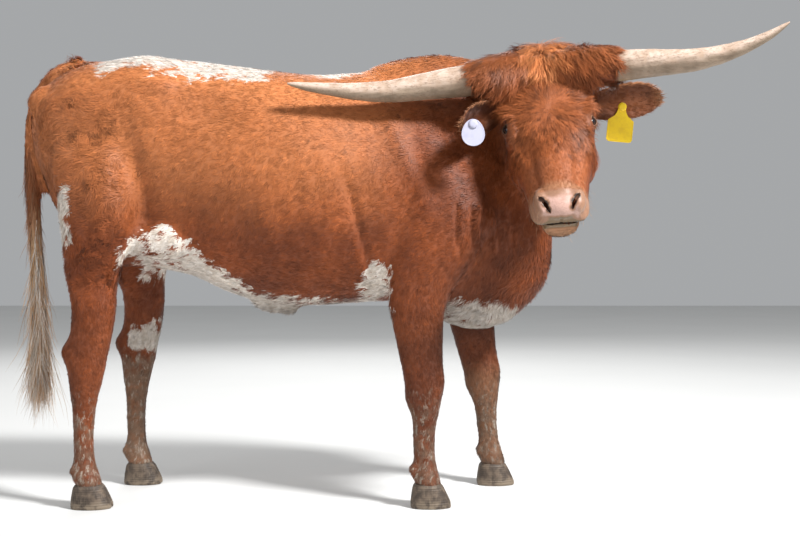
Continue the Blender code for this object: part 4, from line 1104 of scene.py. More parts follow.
def coat_colour(finish, root, tint=None):
    """Red-brown with white patches, speckled where they meet, dust on the lower legs, a painted orange highlight and
    painted shade.
    """
    white, light, dust = finish.stored("marks_and_highlight").parts()
    bare, dark, cream = finish.stored("places").parts()
    patchy = finish.noise(root, 9.0, 3.0)
    fine = finish.noise(root, 85.0, 3.0)
    speckle = finish.noise(root, 42.0, 2.0, 0.6)
    brown = finish.mix(patchy.step(0.30, 0.72), DARK_BROWN, RED_BROWN)
    # light: a painted orange highlight, partly the coat's own orange tone
    brown = finish.coats(brown, (fine.step(0.25, 0.80) * 0.45, DARK_BROWN), (light, HIGHLIGHT_ORANGE_BROWN), (cream, CREAM))
    pale = finish.mix(fine.step(0.35, 0.70), WHITE_SHADE, WHITE_HAIR)
    broken = ((speckle - 0.5) * 2.2 + (fine - 0.5) * 0.5) * white.step(0.0, 0.25)
    dusty = (dust + (speckle - 0.5) * 1.4 * dust.step(0.0, 0.2)).step(0.25, 0.80) * 0.80
    flakes = finish.noise(finish.place((1.0, 1.0, 0.45), here=root), 120.0, 2.0, 0.6)
    flaky = flakes.step(0.56, 0.64) * dust.step(0.10, 0.45) * 0.85
    marked = (white + broken).step(0.46, 0.56)
    # dark: dark skin and hair, and painted shade in the mouth, nostrils, ear cups, under the belly, on the neck and
    # among the curls
    colour = finish.coats(brown, (marked, pale), (dusty, DUST), (flaky, FLAKES), (dark, NEAR_BLACK))
    # tint: each hair's own tone, darker toward its root as painted shade
    if tint is not None:
        shade = 0.50 + tint * 1.0
        grey = finish.node("ShaderNodeCombineXYZ", {}, (shade, shade, shade))
        colour = finish.mix(1.0, colour, grey, "MULTIPLY")
    return colour, bare, dark, fine


def skin_finish():
    """The hide under the coat: short flat hair as bump, and the bare skin of the muzzle and lids."""
    finish = Finish("hide", Roughness=0.62, Specular_IOR_Level=0.30, Sheen_Weight=0.10, Sheen_Roughness=0.4)
    root = finish.stored("root")
    colour, bare, dark, fine = coat_colour(finish, root)
    pores = finish.noise(root, 420.0, 2.0)
    blotch = finish.noise(root, 38.0, 3.0)
    olive = finish.stored("muzzle", "Fac")
    pad = finish.coats(
        (0.52, 0.325, 0.270),
        ((olive + (blotch - 0.5) * 0.7).step(0.02, 0.46), (0.285, 0.150, 0.090)),
        ((olive + (blotch - 0.5) * 0.3).step(0.55, 0.95), (0.150, 0.098, 0.046)),
        (pores.step(0.35, 0.65) * 0.35, (0.16, 0.085, 0.060)),
        # dark skin, with painted shade inside the nostrils and along the mouth's slit
        (dark, (0.018, 0.010, 0.008)),
    )
    hairs = finish.noise(finish.place((60.0, 300.0, 260.0), (0.0, 0.42, 0.0)), 1.0, 3.0, 0.6)
    height = hairs * (1.0 - bare) * 0.8 + pores * 0.5 + fine * 0.5
    gloss = 0.62 - bare * 0.24 + (pores - 0.5) * 0.12
    bump = finish.bump(height, 0.0016, 0.55)
    return finish.set(Base_Color=finish.mix(bare, colour, pad), Roughness=gloss, Normal=bump)


def fur_finish(name, roughness):
    """Hair: the colour of the hide at its root, a little different from hair to hair, and darker toward the root as
    painted shade.
    """
    finish = Finish(name, Roughness=roughness, Specular_IOR_Level=0.20, Sheen_Weight=0.05, Sheen_Roughness=0.35)
    colour = coat_colour(finish, finish.stored("root"), finish.stored("tint", "Fac"))[0]
    return finish.set(Base_Color=colour)


def horn_finish():
    """Pale above and darker below, partly its own dusky mottling and partly painted shade, with grain, specks and a
    darker root.
    """
    finish = Finish("horn", Specular_IOR_Level=0.40)
    grain = finish.noise(finish.place((22.0, 260.0, 260.0)), 1.0, 4.0, 0.6)
    cloud = finish.noise(finish.place(), 24.0, 4.0, 0.6)
    specks = finish.noise(finish.place((90.0, 240.0, 240.0)), 1.0, 3.0, 0.7)
    # under: darker where the horn faces down, painted shade over its own dusky mottling
    under = (0.0 - finish.stored("upward", "Fac") + (cloud - 0.5) * 1.3).step(-0.40, 0.55)
    colour = finish.coats(
        finish.mix(cloud.step(0.32, 0.62), (0.39, 0.275, 0.200), (0.56, 0.435, 0.360)),
        (under * 0.92, finish.mix(cloud.step(0.3, 0.7), (0.140, 0.100, 0.062), (0.25, 0.180, 0.120))),
        (specks.step(0.52, 0.64) * 0.60, (0.17, 0.11, 0.07)),
        (grain.step(0.48, 0.70) * 0.45, (0.27, 0.19, 0.13)),
        (finish.stored("reach", "Fac").step(0.16, 0.0) * 0.55, (0.24, 0.15, 0.09)),
    )
    gloss = 0.46 + (grain - 0.5) * 0.25 + specks.step(0.5, 0.7) * 0.15
    bump = finish.bump(grain * 0.7 + specks * 0.5, 0.0010, 0.6)
    return finish.set(Base_Color=colour, Roughness=gloss, Normal=bump)


def claw_finish():
    """Dark horn with growth rings, worn pale at the ground."""
    finish = Finish("claw", Specular_IOR_Level=0.35)
    high = finish.place().parts()[2]
    rings = high.maths("SINE", high * 900.0 + finish.noise(finish.place(), 60.0) * 6.0)
    grain = finish.noise(finish.place((260.0, 260.0, 26.0)), 1.0, 3.0)
    cloud = finish.noise(finish.place(), 45.0, 4.0)
    colour = finish.coats(
        finish.mix(cloud.step(0.35, 0.70), (0.050, 0.036, 0.027), (0.135, 0.098, 0.070)),
        (high.step(0.030, 0.0) * cloud.step(0.3, 0.6), (0.20, 0.155, 0.11)),
        (grain.step(0.5, 0.8) * 0.4, (0.22, 0.17, 0.12)),
    )
    bump = finish.bump(rings * 0.25 + grain, 0.0007, 0.6)
    return finish.set(Base_Color=colour, Roughness=0.58 + (grain - 0.5) * 0.3, Normal=bump)


def eye_finish():
    """A dark brown disc with a wide pupil and a paler rim, under a wet front."""
    finish = Finish("eye", Specular_IOR_Level=0.25, Coat_Weight=0.3, Coat_Roughness=0.03)
    x, y, _ = finish.stored("disc").parts()
    iris = (x * x + y * y) ** 0.5
    pupil = ((x / 1.35) ** 2.0 + (y / 0.75) ** 2.0) ** 0.5
    rays = finish.noise(finish.stored("disc"), 900.0, 2.0)
    colour = finish.coats(
        finish.mix(rays.step(0.3, 0.7), (0.018, 0.008, 0.005), (0.045, 0.019, 0.009)),
        (pupil.step(0.0066, 0.0056), (0.006, 0.007, 0.011)),
        (iris.step(0.0120, 0.0140), (0.045, 0.025, 0.018)),
        (iris.step(0.0145, 0.0175), (0.22, 0.14, 0.105)),
    )
    return finish.set(Base_Color=colour, Roughness=0.14 + iris.step(0.012, 0.016) * 0.12)


def tag_finish(name, colour, shade):
    """Plastic, faded in clouds and scuffed."""
    finish = Finish(name, Specular_IOR_Level=0.45)
    cloud = finish.noise(finish.place(), 55.0, 4.0, 0.6)
    scuffs = finish.noise(finish.place((900.0, 900.0, 120.0), (0.0, 0.5, 0.0)), 1.0, 3.0, 0.7)
    paint = finish.mix(cloud.step(0.40, 0.75) * 0.5, colour, shade)
    paint = finish.mix(scuffs.step(0.60, 0.75) * 0.35, paint, shade)
    bump = finish.bump(scuffs * 0.5 + cloud, 0.0003, 0.4)
    return finish.set(Base_Color=paint, Roughness=0.40 + (cloud - 0.5) * 0.2, Normal=bump)


# How the coat lies and how it is marked


# The upper edge of the white below and the lower edge of the white above, seen from the side
BELLY_MARK = np.array([
    (-0.773, 0.646), (-0.714, 0.748), (-0.647, 0.759), (-0.593, 0.727), (-0.498, 0.633),
    (-0.418, 0.592), (-0.296, 0.562), (-0.150, 0.562), (-0.027, 0.566),
]).T
BACK_MARK = np.array([
    (-0.830, 1.120), (-0.763, 1.172), (-0.694, 1.192), (-0.660, 1.170), (-0.555, 1.160),
    (-0.472, 1.146), (-0.375, 1.158),
]).T
# The inside of each nostril: place down the face, aside and out, and its size
NOSTRIL_SPOTS = [
    (0.477, 0.029, -0.053, 0.0088), (0.467, 0.036, -0.046, 0.0106),
    (0.456, 0.0445, -0.041, 0.0090), (0.458, 0.034, -0.056, 0.0150),
]
# How far down the face the whorl lies
WHORL = 0.163
# How far from an ear's axis its skin still is, across its width and its depth
EAR_ASIDE, EAR_DEEP = 0.062, 0.045
# What each point of the skin keeps for its finish: the name it is stored under, and the field it holds
STORED = [("root", "place"), ("marks_and_highlight", "marks_and_highlight"), ("places", "places"), ("muzzle", "muzzle")]


def ear_fields(points, normals):
    """For each point: its share of an ear's length or -1, the way to the tip, the cup's side and the rim."""
    share, inside, rim = np.full(len(points), -1.0), np.zeros(len(points)), np.zeros(len(points))
    way = np.zeros_like(points)
    for which in EARS:
        root, along, face, width = (np.array(v) for v in ear_axes(which))
        part = (points - root) @ along / (along @ along)
        off = points - root - part[:, None] * along
        aside = np.abs(off @ width)
        here = (part > 0.16) & (part < 1.05) & (aside < EAR_ASIDE) & (np.abs(off @ face) < EAR_DEEP)
        half = np.interp(part, *np.array(EAR).T[:2])
        share[here] = part[here]
        way[here] = along / np.linalg.norm(along)
        inside[here] = ramp(0.0, 0.4, normals @ face)[here]
        edge = ramp(0.72, 0.95, aside / half) * ramp(0.22, 0.40, part)
        rim[here] = np.maximum(edge, ramp(0.88, 0.98, part))[here]
    return share, way, inside, rim


def eye_reach(points):
    """How far each point is from the middle of the nearer eye."""
    eyes = [np.array(eye_frame(side).to_translation()) for side in (-1, 1)]
    return np.min([np.linalg.norm(points - eye, axis=1) for eye in eyes], axis=0)


def fields_of(skin, near_head):
    """What the coat needs to know at each point of the skin."""
    points, normals = places_of(skin), normals_of(skin)
    x, y, z = points.T
    u, v, w = in_head(points).T
    aside = np.abs(v)
    turned = normals @ HEAD_TURN
    head = ramp(0.016, 0.004, np.array([near_head.find_nearest(Vector(p))[3] for p in points]))
    body = 1 - head
    share, way, inside, rim = ear_fields(points, normals)
    ear = (share >= 0) & (head > 0.5)
    eye = eye_reach(points)

    # white, painted highlight and dust, along edges that wander
    along_top = within(0.22 * rough(points, 7, 45), (z, 1.15, 1.20))
    x = x + 0.045 * rough(points, 8, 41) + 0.024 * rough(points, 26, 42) + along_top
    z = z + 0.030 * rough(points, 9, 43) + 0.020 * rough(points, 28, 44)
    low = z - np.interp(x, *BELLY_MARK)
    white = within(1, (low, 0.035, -0.035), (x, -0.785, -0.745), (x, 0.0, -0.06), (z, 0.46, 0.50))
    white *= 1 - patch(x, z, -1.00, -0.735, 0.0, 0.66, 0.02) * (y < 0)
    white *= 1 - ramp(-0.62, -0.68, x) * ramp(0.625, 0.590, z) * (y > 0.03)
    white *= 1 - 0.36 * ramp(-0.54, -0.62, x)
    high = z - np.interp(x, *BACK_MARK)
    far = ramp(-0.02, 0.16, y)
    ends = (x - 0.11 * far, -0.845, -0.790), (x + 0.12 * far, -0.315, -0.385)
    back = within(0.84, (high, -0.020, 0.030), *ends)
    notch = dome((x, -0.57, 0.060), (y, 0.17, 0.055)) + dome((x, -0.36, 0.040), (y, 0.02, 0.030))
    white = np.maximum(white, back * (1 - 0.9 * notch))
    between_legs = ramp(0.115, 0.100, np.abs(y))
    inner_thigh = (y > 0) * (normals[:, 1] < 0.2)
    for amount, where, *edges in (
        (0.95, 1, -0.225, -0.125, 1.178, 2.0, 0.020),
        (0.92, 1, -0.108, -0.028, 0.565, 0.668, 0.030),
        (0.86, between_legs, 0.12, 0.33, 0.440, 0.562, 0.022),
        (0.95, 1, -0.935, -0.885, 0.715, 0.865, 0.024),
        (0.84, inner_thigh, -0.80, -0.70, 0.405, 0.495, 0.028),
    ):
        white = np.maximum(white, amount * patch(x, z, *edges) * where)
    white *= body
    # painted highlight: lighter orange on the upward-facing back, the withers and the upper flank, fading toward the
    # shoulder; partly the coat's own orange
    top = within(0.45 * ramp(0.25, 0.80, normals[:, 2]), (z, 0.95, 1.15))
    withers_highlight = within(0.35, (x, 0.10, 0.30), (z, 1.0, 1.2))
    light = body * (top + withers_highlight + within(0.62, (z, 0.70, 0.98), (x, 0.08, -0.14)))
    # painted highlight on the poll and where the face looks ahead, partly the poll's own orange
    light += head * (0.30 * ramp(0.10, 0.0, u) + 0.20 * ramp(0.2, 0.7, turned[:, 2]))
    light += within(0.25, (x, -0.95, -1.02), (z, 0.9, 1.1))
    dust = ramp(0.42, 0.20, z) * 0.50 + ramp(0.12, 0.05, z) * 0.12
    far_hind = (x < -0.6) & (y > 0)
    dust = np.where(far_hind, np.maximum(dust, ramp(0.46, 0.36, z) * 0.60), dust) * (z < 0.5) * (x > -1.0)
    marks_and_highlight = stacked(white, np.clip(light, 0, 1), dust)

    # bare skin, dark skin and hair, painted shade and pale hair, back on the true edges
    x, y, z = points.T
    mouth = w + 0.101
    pad = ramp(0.424, 0.440, u) * ramp(-0.114, -0.104, w)
    lip = within(1, (u, 0.380, 0.40), (np.abs(w + 0.106), 0.012, 0.006))
    lip = np.maximum(lip, within(1, (u, 0.435, 0.450), (w, -0.134, -0.127)))
    lids = ramp(0.0254, 0.0243, eye)
    round_eyes = 0.34 * ramp(0.046, 0.028, eye) * (1 - lids)
    dark = np.maximum(0.85 * ramp(0.0236, 0.0222, eye), (0.50 - 0.30 * (v > 0)) * lids)
    dark = head * np.maximum(dark, round_eyes)
    # the mouth's slit darkened where its faces turn inward: painted shade
    mouth_shade = ramp(0.0052, 0.0030, np.abs(w + 0.101 + 0.25 * (0.486 - u)))
    mouth_shade = within(mouth_shade, (u, 0.40, 0.42), (-turned[:, 2] * np.sign(mouth), -0.1, 0.3))
    hole = spot_reach(u, v, w, NOSTRIL_SPOTS)
    # inside the nostrils: painted shade
    inner = ramp(1.12, 0.98, hole) * head
    dark = np.maximum(dark, np.maximum(0.9 * inner, 0.8 * mouth_shade * head))
    bare = head * np.clip(np.max([pad, lip, lids, ramp(2.2, 1.9, hole)], axis=0), 0, 1)
    # inside the ears' cups, away from the rim: painted shade
    dark = np.where(ear, np.maximum(dark, 0.56 * inside * (1 - rim)), dark)
    # under the belly round the sheath: painted shade
    sheath = body * 0.55 * patch(x, z, -0.43, -0.26, 0.0, 0.545, 0.02) * ramp(0.06, 0.03, np.abs(y))
    dark = np.maximum(dark, sheath)
    neck_shade = within(0.20, (x, -0.06, 0.14), (z, 1.08, 0.90))
    # the lower body darker toward the ground, and painted shade on the neck
    dark = np.maximum(dark, body * (0.26 * ramp(0.62, 0.45, z) + neck_shade))
    muzzle_edge = 0.5 * ramp(0.395, 0.425, u) * (1 - pad)
    cream = head * 0.50 * np.maximum(muzzle_edge, ramp(0.34, 0.42, u) * ramp(-0.11, -0.14, w))
    cream = np.where(ear, np.maximum(cream, 0.34 * rim), cream)
    inner_leg = 0.3 * ramp(0.40, 0.30, z) * (z < 0.5) * ramp(-0.3, 0.3, -normals[:, 1] * np.sign(y))
    cream = np.maximum(cream, inner_leg)
    places = stacked(bare, np.clip(dark, 0, 1), np.clip(cream, 0, 1))

    # the way it lies: each region's own way, laid over the last
    one = np.ones(len(points))
    below_crest = within(head, (normals[:, 2], 0.25, 0.0), (u, 0.125, 0.105))
    below_crest = within(below_crest, (aside, 0.140, 0.110), (w, -0.10, -0.06))
    poll_edge = 0.062 + 0.045 * ramp(0.055, 0.115, aside) - u
    poll = np.maximum(head * ramp(0.0, 0.030, poll_edge), below_crest)
    from_whorl = stacked(u - WHORL + 0.9 * np.maximum(u - 0.20, 0), v, 0)
    down_poll = (1.3 * np.maximum(u + 0.045, -0.02) + 0.60 * aside) * ramp(0.19, 0.10, aside)
    from_parting = stacked(down_poll, v + 0.02 * np.sign(v), 0)
    cheek = head * ramp(0.35, 0.75, np.abs(turned[:, 1])) * ramp(0.36, 0.30, u)
    lie = stacked(-one, 0, -0.45)
    for weight, way_here in (
        (ramp(0.10, 0.30, x), (-0.65, 0, -0.75)),
        (ramp(0.15, 0.25, x) * ramp(0.80, 0.65, z), (-0.25, 0, -1)),
        (ramp(-0.86, -0.98, x), (-0.25, 0, -1)),
        (ramp(0.64, 0.52, z) * ramp(0.05, 0.10, np.abs(y)), (-0.12, 0, -1)),
        (ramp(-1.00, -1.02, x), (0.0, 0, -1)),
        (head, from_whorl @ HEAD_TURN.T),
        (poll, from_parting @ HEAD_TURN.T),
        (cheek, stacked(0.55 * one, 0, -0.8) @ HEAD_TURN.T),
    ):
        way_here = np.broadcast_to(np.array(way_here, float), lie.shape)
        lie = lie * (1 - weight[:, None]) + lengthwise(way_here) * weight[:, None]
    lie[ear] = way[ear]
    curly = body * np.maximum(patch(x, z, -1.0, -0.74, 0.62, 1.12, 0.05), 0.4 * ramp(0.15, 0.25, x))
    swirl = rough(points, 7, 1) * 0.9 + rough(points, 24, 2) * (0.7 + 2.6 * curly)
    lie = swung(flattened(lie, normals), normals, swirl * (1 - 0.6 * head))

    # length, width, lift and thickness of the coat
    under = ramp(0.60, 0.55, z) * ramp(0.12, 0.09, np.abs(y))
    dewlap = ramp(0.18, 0.28, x) * ramp(0.75, 0.62, z)
    length = 0.016 + 0.004 * curly + 0.010 * body * np.maximum(under, dewlap)
    length += 0.005 * body * ramp(1.14, 1.22, z) + 0.004 * ramp(0.1, 0.3, x) * body
    legs = ramp(0.58, 0.46, z) * ramp(-1.0, -0.98, x)
    length = np.where(legs > 0, length * (1 - legs) + 0.0105 * legs, length)
    face = 0.0060 + 0.005 * ramp(0.26, 0.16, u) + 0.004 * ramp(-0.11, -0.17, w) + 0.004 * ramp(0.08, 0.0, u)
    length = length * body + face * head
    width = (0.0021 - 0.0006 * legs) * body + (0.00115 + 0.0004 * ramp(0.1, 0.0, u)) * head
    length = np.where(ear, 0.008 + 0.006 * rim + 0.007 * inside, length)
    length *= 1 - 0.55 * head * ramp(0.046, 0.028, eye)
    lift = 0.24 + 0.10 * curly + 0.10 * head * ramp(0.1, 0.0, u) + 0.22 * rim * ear
    thick = (1 + 0.9 * legs) * body + 5.2 * head * (1 - 0.45 * ramp(0.1, 0.0, u))
    thick = np.where(ear, 4.5 + 3.0 * rim - 2.2 * inside * (1 - rim), thick)
    thick = thick * (1 - bare) ** 3 * (1 - ramp(0.0262, 0.0252, eye) * head)

    # the muzzle's olive and tan, with painted shade on its right side
    olive = within(1, (aside, 0.048, 0.022), (w, -0.058, -0.074), (u, 0.44, 0.47))
    olive = olive + within(0.95, (w, -0.083, -0.098), (u, 0.40, 0.44))
    tan = [
        0.5 * ramp(0.034, 0.056, aside),
        0.46 * ramp(0.466, 0.440, u),
        0.55 * ramp(1.6, 1.1, hole),
        # the right side's tan stubble, darkened further as painted shade
        0.62 * ramp(0.020, 0.050, -v) * ramp(-0.05, -0.075, w),
        0.62 * ramp(0.030, 0.027, eye),
    ]
    muzzle = head * np.max([np.clip(olive, 0, 1), *tan], axis=0)
    size = stacked(length, width, lift)
    return {
        "place": points, "normal": normals, "lie": lie, "marks_and_highlight": marks_and_highlight, "places": places, "size": size,
        "thick": thick, "muzzle": muzzle, "head": head, "ear": ear.astype(float), "uvw": in_head(points),
        "ahead": turned[:, 2], "eye": eye, "crest": below_crest,
    }


# Hair


BODY_HAIRS, FACE_HAIRS, FOREHEAD_HAIRS, POLL_HAIRS, THIGH_HAIRS = 254000, 74000, 31000, 20000, 9000
SWITCH_HAIRS, WHISKERS = 3000, 120
FEW = 1.0
# The most blades of three points in one piece; longer blades count for more
LIMIT = 60000
# A blade's own patch on the unwrap, each way from its root's place, and where its last row below the tip lies
HALF_PATCH, PATCH_TOP = 0.0015, 0.0009


def rooted(skin, fields, thick, count, seed):
    """Roots spread over the skin, close where thick is high, with what is known there."""
    chance = np.random.default_rng(seed)
    mesh = skin.data
    mesh.calc_loop_triangles()
    corners = read(mesh.loop_triangles, "vertices", 3, np.int32)
    loops = read(mesh.loop_triangles, "loops", 3, np.int32)
    flat = read(mesh.uv_layers["OFBake"].uv, "vector", 2, np.float32)
    a, b, c = (fields["place"][corners[:, k]] for k in range(3))
    weight = np.linalg.norm(np.cross(b - a, c - a), axis=1) * thick[corners].mean(axis=1)
    count = int(count * FEW)
    chosen = chance.choice(len(corners), count, p=weight / weight.sum())
    share = chance.dirichlet((1, 1, 1), count)
    roots = {key: np.einsum("ij,ij...->i...", share, field[corners[chosen]]) for key, field in fields.items()}
    roots["uv"] = np.einsum("ij,ijk->ik", share, flat[loops[chosen]])
    roots["normal"] = lengthwise(roots["normal"])
    roots["lie"] = flattened(roots["lie"], roots["normal"])
    return roots


def picked(roots, which):
    return {key: value[which] for key, value in roots.items()}


def swept(roots, count, chance, middles, pull=0.5, spread=0.30, sag=0.0, bend=0.40, sink=0.04, wave=0.0):
    """Paths that leave the skin, lean over along the coat, gather in wisps and settle again."""
    place, normal = roots["place"], roots["normal"]
    number = len(place)
    lie = swung(roots["lie"], normal, chance.normal(0, spread, number))
    length = roots["size"][:, 0] * chance.uniform(0.70, 1.25, number)
    lift = roots["size"][:, 2] * chance.uniform(0.6, 1.4, number)
    t = np.linspace(0, 1, count)[None, :, None]
    along = lie[:, None] * np.cos(lift)[:, None, None] * t
    rise = normal[:, None] * np.sin(lift)[:, None, None] * (t - bend * t**2)
    down = np.array([0, 0, -1.0]) * np.broadcast_to(sag, number)[:, None, None] * t**2
    phase = chance.uniform(0, 6.3, number)[:, None, None]
    sway = chance.normal(0, 0.10, number)[:, None, None] * t**2 + wave * t * np.sin(phase + 7 * t)
    bowed = np.cross(normal, lie)[:, None] * sway
    drawn = (middles - place)[:, None] * pull * t**1.3
    start = (place - normal * (sink * length)[:, None])[:, None]
    return start + (along + rise + down + bowed) * length[:, None, None] + drawn


def ribbons(name, paths, width, roots, tint, taper=0.85):
    """Thin tapering blades along paths, in one mesh, each facing out and laid at its root's place on the unwrap."""
    number, count = paths.shape[:2]
    normals = roots["normal"][:, None]
    step = lengthwise(np.gradient(paths, axis=1))
    side = lengthwise(np.cross(step, normals))
    up = lengthwise(np.cross(side, step))
    per = 2 * count - 1

    def edges(left, right, tip):
        """A row for each point of each blade: its two edges in turn, and its tip."""
        rows = np.empty((number, per, 3))
        rows[:, 0:-1:2], rows[:, 1:-1:2], rows[:, -1] = left, right, tip
        return rows

    t = np.linspace(0, 1, count)[None, :-1, None]
    reach = side[:, :-1] * (width[:, None, None] / 2) * (1 - (1 - taper) * t) * (1 - 0.55 * t**2)
    verts = edges(paths[:, :-1] - reach, paths[:, :-1] + reach, paths[:, -1])
    turned = side[:, :-1] * 0.55
    shade = lengthwise(edges(up[:, :-1] - turned, up[:, :-1] + turned, up[:, -1]))
    faces = []
    for a in range(0, per - 3, 2):
        faces += [(a, a + 1, a + 3), (a, a + 3, a + 2)]
    faces.append((per - 3, per - 2, per - 1))
    faces = (np.arange(number)[:, None, None] * per + np.array(faces)).reshape(-1, 3)
    mesh = bpy.data.meshes.new(name)
    mesh.from_pydata(verts.reshape(-1, 3), [], faces)
    obj = bpy.data.objects.new(name, mesh)
    mesh.shade_smooth()
    mesh.normals_split_custom_set_from_vertices(lengthwise(shade + normals * 0.6).reshape(-1, 3))
    for layer, key in STORED[:3]:
        values(obj, layer, np.repeat(roots[key], per, axis=0))
    # each blade darker toward its root and lighter toward its tip: painted shade deep in the coat
    toward_tip = np.append(np.repeat(np.linspace(0, 1, count)[:-1], 2), 1.0)
    values(obj, "tint", np.clip(tint[:, None] + 0.22 * (toward_tip - 0.55), 0, 1).ravel())
    spots = np.zeros((per, 2))
    spots[:-1:2, 0], spots[1:-1:2, 0] = -HALF_PATCH, HALF_PATCH
    spots[:, 1] = np.append(np.repeat(np.linspace(-HALF_PATCH, PATCH_TOP, count - 1), 2), HALF_PATCH)
    uv = (roots["uv"][:, None] + spots).reshape(-1, 2)
    mesh.uv_layers.new(name="OFBake").uv.foreach_set("vector", uv[faces.ravel()].astype(np.float32).ravel())
    return obj


def coat_pieces(name, roots, chance, points=3, each=9, stray=0.16, contrast=0.12, ragged=0.20, **shape):
    """Blades over a region, drawn into wisps of neighbours, in as many pieces as they need."""
    number = max(1, len(roots["place"]) // each)
    spots = roots["place"][chance.choice(len(roots["place"]), number, replace=False)]
    tree = tree_of(spots)
    group = np.array([tree.find(place)[1] for place in roots["place"]])
    roots["size"][:, 0] *= chance.uniform(1 - ragged, 1 + ragged, len(group))[group]
    roots["lie"] = swung(roots["lie"], roots["normal"], chance.normal(0, stray, len(group))[group])
    paths = swept(roots, points, chance, spots[group], **shape)
    number = len(paths)
    tint = 0.5 + 0.08 * chance.standard_normal(number) + contrast * chance.standard_normal(number)[group]
    width = roots["size"][:, 1] * chance.uniform(0.8, 1.2, number)
    pieces = []
    most = LIMIT * 3 // (2 * points - 3)
    for first in range(0, number, most):
        here = slice(first, first + most)
        own = "%s_%d" % (name, len(pieces) + 1)
        pieces.append(ribbons(own, paths[here], width[here], picked(roots, here), np.clip(tint[here], 0, 1)))
    return pieces


def make_coat(skin, fields):
    """The hair of the body, face, forehead, poll, thighs and muzzle."""
    chance = np.random.default_rng(11)
    head = fields["head"] > 0.5
    body = rooted(skin, fields, fields["thick"] * ~head, BODY_HAIRS, 1)
    body = picked(body, np.argsort(body["place"][:, 0]))
    pieces = coat_pieces("coat_body", body, chance)
    face = rooted(skin, fields, fields["thick"] * head, FACE_HAIRS, 2)
    face = picked(face, np.argsort(face["place"][:, 2]))
    pieces += coat_pieces("coat_head", face, chance, spread=0.20)
    pieces += forehead_hair(skin, fields, chance)
    pieces += poll_hair(skin, fields, chance)
    pieces += curls(skin, fields, chance)
    return pieces + fine_hairs(fields, chance)


def forehead_hair(skin, fields, chance):
    """Hair that turns out from the whorl, longer away from it and shorter toward the nose and the crest."""
    u, v, _ = fields["uvw"].T
    thick = within(1, (u, 0.36, 0.22), (fields["ahead"], -0.02, 0.25), (fields["eye"], 0.038, 0.058))
    thick = within(thick, (np.abs(v), 0.125, 0.105))
    roots = rooted(skin, fields, fields["head"] * thick * (1 - fields["ear"]), FOREHEAD_HAIRS, 3)
    u, v, _ = roots["uvw"].T
    reach = np.hypot(u - WHORL, v)
    fade = (1 - 0.68 * ramp(0.20, 0.33, u)) * (1 - 0.62 * ramp(0.115, 0.070, u))
    lift = (0.20 + 0.12 * ramp(0.0, 0.05, reach)) * (1 - 0.6 * ramp(0.125, 0.080, u))
    roots["size"] = stacked((0.015 + 0.023 * ramp(0.0, 0.06, reach)) * fade, 0.0009 + 0.0004 * fade, lift)
    look = {"contrast": 0.24, "ragged": 0.32, "pull": 0.62, "spread": 0.10, "wave": 0.07, "bend": 0.60}
    return coat_pieces("coat_forehead", roots, chance, 5, each=20, **look)


def poll_hair(skin, fields, chance):
    """Long hair that falls from a parting on the poll, before it as a forelock and out over the horns' roots."""
    u, v, w = fields["uvw"].T
    aside = np.abs(v)
    edge = 0.042 + 0.010 * ramp(0.02, 0.05, aside) + 0.040 * ramp(0.055, 0.115, aside)
    thick = within(fields["head"], (edge - u, 0.0, 0.022), (w, -0.140, -0.090), (aside, 0.198, 0.188))
    thick = np.maximum(thick, 0.8 * fields["crest"]) * (1 - fields["ear"])
    roots = rooted(skin, fields, thick * (1 + 0.8 * ramp(0.140, 0.170, aside)), POLL_HAIRS, 5)
    u, v, w = roots["uvw"].T
    wide = np.abs(v)
    front = ramp(-0.060, -0.030, u) * ramp(0.062, 0.020, wide + 0.45 * np.maximum(u, 0))
    crown = ramp(0.135, 0.06, wide) * ramp(0.012, -0.030, u)
    length = 0.046 + 0.014 * front - 0.013 * ramp(0.145, 0.185, wide)
    length = length * (1 - 0.30 * ramp(0.0, 0.05, u) * ramp(0.06, 0.03, wide))
    lift = 0.26 + 0.30 * crown + 0.08 * front
    dark = within(0.10, (wide, 0.05, 0.10), (u, -0.02, 0.03))
    for across in (0.0, 0.112):
        middle = np.array(HORNS @ Vector((-0.006, across, 0.058)))
        tuft = np.linalg.norm(roots["place"] - middle, axis=1) < 0.011
        length, lift, dark = np.where(tuft, 0.040, length), np.where(tuft, 1.25, lift), np.where(tuft, 0.4, dark)
    roots["size"] = stacked(length, 0.0014, lift)
    # painted highlight, most on the forelock and on hair facing up, partly its own orange
    roots["marks_and_highlight"][:, 1] = np.clip(0.18 + 0.82 * front + 0.12 * roots["normal"][:, 2], 0, 1)
    roots["places"][:, 1] = np.maximum(roots["places"][:, 1], dark)
    look = {"contrast": 0.20, "ragged": 0.38, "pull": 0.60, "spread": 0.12, "sag": 0.16, "bend": 0.5, "wave": 0.08}
    return coat_pieces("coat_poll", roots, chance, 6, each=22, **look)


